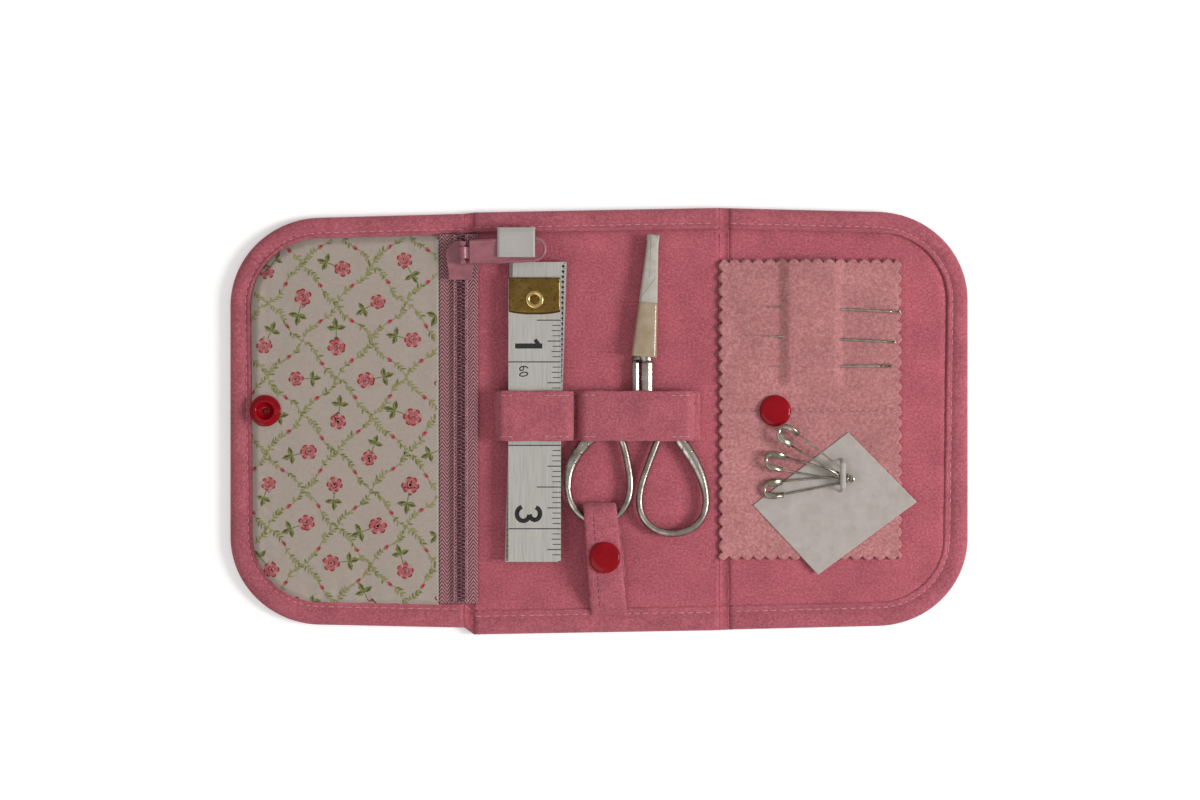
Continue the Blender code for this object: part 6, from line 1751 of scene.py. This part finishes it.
fibre_rng = Random(9)
fibres = []
for _ in range(900):
    side = fibre_rng.randrange(3)
    if side == 2:
        x, turn = fibre_rng.uniform(FELT_LEFT + 2, FELT_RIGHT - 2), pi / 2
        y =FELT_TOP - pinking(x, 3.6, 1.3)
    else:
        y = fibre_rng.uniform(11.5, FELT_TOP - 2)
        x = FELT_LEFT + pinking(y + 0.8, 3.9, 1.35) if side == 0 else FELT_RIGHT - pinking(y + 2.2, 3.7, 1.35)
        turn = pi if side == 0 else 0
    turn += fibre_rng.uniform(-0.9, 0.9)
    reach = fibre_rng.uniform(0.25, 0.7)
    z = felt_top(x, y) - fibre_rng.uniform(0.1, 0.7)
    bend = fibre_rng.uniform(-0.25, 0.25)
    fibres.append(round_wire([(x - 0.3 * cos(turn), y - 0.3 * sin(turn), z),
                              (x + reach * 0.5 * cos(turn), y + reach * 0.5 * sin(turn), z + 0.1),
                              (x + reach * cos(turn + bend), y + reach * sin(turn + bend),
                               z + fibre_rng.uniform(-0.1, 0.2))],
                             0.03, 3))
fuzz = mesh_piece("felt_needle_fuzz", *gather(fibres), felt)
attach(fuzz, "needle_page")

# Needles.
# Three nickel-plated hand needles run under the raised part of the felt, each with a long eye at its right.

needle_metal, needle_tree, needle_shader = principled("needle steel", (0.50, 0.46, 0.40), 0.24, 1.0)
needle_place = needle_tree.nodes.new("ShaderNodeTexCoord")
needle_tone = noise_node(needle_tree, needle_place.outputs["Object"], 500, 3.0)
needle_tree.links.new(ramp(needle_tree, needle_tone,
                           ((0.35, (0.36, 0.32, 0.26)), (0.65, (0.62, 0.58, 0.52)))),
                      needle_shader.inputs["Base Color"])
for number, (start, end) in enumerate((((47.0, 35.4), (92.3, 33.6)), ((44.6, 26.6), (90.7, 24.4)),
                                       ((50.4, 16.8), (89.8, 17.1))), start=1):
    point, eye = Vector((*start, 5.36)), Vector((*end, 5.36))
    along = (eye - point).normalized()
    across = Vector((along.y, -along.x, 0))
    length = (eye - point).length
    stations = [(length * k / 24, 0.05 + 0.33 * ease(k / 9)) for k in range(23)]
    stations += [(length - 3.4, 0.38), (length - 3.1, 0.42)]
    solids = [swept([[tuple(point + along * reach + across * wide * cos(2 * pi * s / 10)
                            + Vector((0, 0, 1)) * wide * sin(2 * pi * s / 10)) for s in range(10)]
                     for reach, wide in stations])]
    for hand in (-1, 1):
        arch = []
        for k in range(13):
            share = k / 12
            bow = sin(pi * share) ** 0.7
            arch.append(tuple(point + along * (length - 3.25 + 3.1 * share) + across * hand
                              * (0.12 + 0.25 * bow)))
        solids.append(round_wire(arch, 0.2, 8, flat=1.5))
    needle = outward(mesh_piece("drawn_needle_%d" % number, *gather(solids), needle_metal))
    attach(needle, "needle_%d" % number)
    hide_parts("needle_%d" % number)

# Pin paper.
# A square of thin off-white paper lies under the pins; a slit strip of it stands up and holds their coils.

CORNERS = ((76.1, -3.1), (97.1, -24.4), (66.9, -46.7), (47.0, -25.4))
BAND_MID, BAND_HALF, BAND_LOW, BAND_HIGH = 74.3, 0.9, -21.6, -11.0

pin_card, card_tree, card_shader = principled("thin off-white paper", (0.42, 0.375, 0.35), 0.85)
card_place = card_tree.nodes.new("ShaderNodeTexCoord")
card_tone = noise_node(card_tree, card_place.outputs["Object"], 300, 4.0)
card_tree.links.new(ramp(card_tree, card_tone, ((0.3, (0.38, 0.335, 0.31)), (0.7, (0.45, 0.40, 0.375)))),
                    card_shader.inputs["Base Color"])
bump(card_tree, card_shader, noise_node(card_tree, card_place.outputs["Object"], 900, 4.0), 0.05)


def card_top(x, y):
    """Upper face of the paper: nearly flat, with one soft crease."""
    line = ((x - 78.0) * 0.79 + (y + 20.5) * 0.61)
    crease = -0.045 * exp(-(line / 1.0) ** 2)
    return 5.07 + crease + 0.02 * wave(x, y, 7.0, 51.0)


card_columns = card_rows = 90
tops, lows = [], []
for column in range(card_columns + 1):
    for row in range(card_rows + 1):
        u, v = column / card_columns, row / card_rows
        x = ((CORNERS[3][0] * (1 - u) + CORNERS[0][0] * u) * (1 - v)
             + (CORNERS[2][0] * (1 - u) + CORNERS[1][0] * u) * v)
        y = ((CORNERS[3][1] * (1 - u) + CORNERS[0][1] * u) * (1 - v)
             + (CORNERS[2][1] * (1 - u) + CORNERS[1][1] * u) * v)
        if column == card_columns or row == card_rows:
            x += 0.12 * noise.noise((x * 1.4, y * 1.4, 3.0))
            y += 0.12 * noise.noise((x * 1.4, y * 1.4, 7.0))
        z = card_top(x, y)
        tops.append((x, y, z))
        lows.append((x, y, z - 0.06))
card_total = len(tops)
faces = []
for column in range(card_columns):
    for row in range(card_rows):
        a = column * (card_rows + 1) + row
        quad = (a, a + 1, a + card_rows + 2, a + card_rows + 1)
        faces.append(quad)
        faces.append(tuple(index + card_total for index in reversed(quad)))
ring = [column * (card_rows + 1) for column in range(card_columns + 1)]
ring += [card_columns * (card_rows + 1) + row for row in range(1, card_rows + 1)]
ring += [column * (card_rows + 1) + card_rows for column in range(card_columns - 1, -1, -1)]
ring += [row for row in range(card_rows - 1, 0, -1)]
faces += [(a, b, b + card_total, a + card_total) for a, b in zip(ring, ring[1:] + ring[:1])]
band_rings = []
for step in range(31):
    share = step / 30
    y = BAND_LOW + (BAND_HIGH - BAND_LOW) * share
    z = 5.1 + 3.36 * ease(share / 0.16) * (1 - ease((share - 0.84) / 0.16)) + 0.05 * sin(pi * share)
    tilt = 0.05 * sin(3 * share)
    band_rings.append([(BAND_MID - BAND_HALF, y, z + tilt), (BAND_MID + BAND_HALF, y, z - tilt),
                       (BAND_MID + BAND_HALF, y, z - 0.06 - tilt),
                       (BAND_MID - BAND_HALF, y, z - 0.06 + tilt)])
card = outward(mesh_piece("pin_paper_square", *gather([(tops + lows, faces), swept(band_rings)]), pin_card))
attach(card, "pin_page")
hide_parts("pin_paper")

# Safety pins.
# Bent nickel-plated wire with a coil at one end, and a pressed sheet head whose middle is open.

pin_metal, pin_tree, pin_shader = principled("pin wire", (0.40, 0.36, 0.29), 0.28, 1.0)
pin_place = pin_tree.nodes.new("ShaderNodeTexCoord")
pin_tone = noise_node(pin_tree, pin_place.outputs["Object"], 320, 4.0)
# The wire darkens as its surface turns away from the view: painted shade and painted dark reflection on the
# sides of the round wire, multiplied over the wear tones.
pin_facing = pin_tree.nodes.new("ShaderNodeLayerWeight")
pin_facing.inputs["Blend"].default_value = 0.4
pin_wear = ramp(pin_tree, pin_tone,
                ((0.32, (0.24, 0.205, 0.15)), (0.52, (0.40, 0.36, 0.28)), (0.72, (0.60, 0.56, 0.48))))
pin_painted_edge_shade = ramp(pin_tree, pin_facing.outputs["Facing"], ((0.15, (1.0, 1.0, 1.0)), (0.8, (0.35, 0.33, 0.3))))
pin_tree.links.new(blend_colour(pin_tree, "MULTIPLY", 0.85, pin_wear, pin_painted_edge_shade),
                   pin_shader.inputs["Base Color"])
bump(pin_tree, pin_shader, noise_node(pin_tree, pin_place.outputs["Object"], 1500, 3.0), 0.015)

COIL_AT = (76.6, -17.4)
for number, (level, degrees, arm_side) in enumerate(((8.05, 145.0, -1), (7.05, 166.5, 1), (6.05, 187.5, 1)),
                                                    start=1):
    angle = pi * degrees / 180
    along = Vector((cos(angle), sin(angle), 0))
    across = Vector((-sin(angle), cos(angle), 0))
    centre = Vector((*COIL_AT, level))
    up = Vector((0, 0, 1))
    fixed = -arm_side
    coil = []
    for step in range(55):
        turn = 2 * pi * 1.5 * step / 54 + (pi if fixed < 0 else 0)
        coil.append(tuple(centre + (across * cos(turn) - along * sin(turn)) * 0.98 * fixed + up
                          * (-0.28 + 0.56 * step / 54)))
    wire = [tuple(centre + along * 20.6 + across * fixed * 2.0),
            tuple(centre + along * 10.0 + across * fixed * 1.5),
            tuple(centre + along * 1.2 + across * fixed * 0.95)]
    solids = [round_wire(coil, 0.27, 8), round_wire(wire, 0.3, 8)]
    frame_piece = outward(mesh_piece("bent_wire_%d" % number, *gather(solids), pin_metal))
    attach(frame_piece, "pin_page")
    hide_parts("safety_pin_%d_frame" % number)
    arm_path = [centre + along * (1.4 + (24.1 - 1.4) * k / 20) + across * arm_side * (0.9 + 1.4 * k / 20)
                for k in range(21)]
    arm = outward(mesh_piece("pointed_wire_%d" % number, *round_wire(
        [tuple(p) for p in arm_path], [0.29 * min(1, 0.2 + (20 - k) * 0.16) for k in range(21)], 8),
                             pin_metal))
    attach(arm, "pin_arm_%d" % number)
    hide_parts("safety_pin_%d_arm" % number)
    solids = []
    outline = [(20.7, -2.95)] + [(27.0 - 3.1 + 3.0 * cos(pi * (k / 16 - 0.5)), 3.0 * sin(pi * (k / 16 - 0.5)))
                                 for k in range(17)] + [(20.7, 2.95)]
    head_path = [centre + along * reach + across * aside for reach, aside in outline]
    fixed_side = head_path if fixed > 0 else head_path[::-1]
    rings = []
    for index, place in enumerate(fixed_side):
        before, after = fixed_side[max(index - 1, 0)], fixed_side[min(index + 1, len(fixed_side) - 1)]
        run = (after - before).normalized()
        inward = Vector((-run.y, run.x, 0))
        if (centre + along * 23 - place).dot(inward) < 0:
            inward = -inward
        share = index / (len(fixed_side) - 1)
        deep = 2.1 if share > 0.7 else 1.7 if share < 0.3 else 1.5
        deep *= 1 - 0.35 * exp(-((share - 0.5) / 0.16) ** 2)
        ring = []
        for k in range(9):
            turn = pi * (k / 8 - 0.5) + pi
            ring.append(tuple(place + inward * (0.42 + 0.42 * cos(turn)) + up * 0.56 * sin(turn) * -1))
        ring.append(tuple(place + inward * deep + up * 0.52))
        ring.append(tuple(place + inward * deep + up * 0.36))
        ring += [tuple(place + inward * (0.46 - 0.26 * cos(pi * (k / 4 - 0.5))) + up * 0.38
                       * sin(pi * (k / 4 - 0.5)) * -1)
                 for k in range(5)]
        ring.append(tuple(place + inward * deep * 0.8 - up * 0.36))
        ring.append(tuple(place + inward * deep * 0.8 - up * 0.52))
        rings.append(ring)
    solids.append(swept(rings))
    head = outward(mesh_piece("pressed_head_%d" % number, *gather(solids), pin_metal))
    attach(head, "pin_page")
    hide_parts("safety_pin_%d_cap" % number)

# finish
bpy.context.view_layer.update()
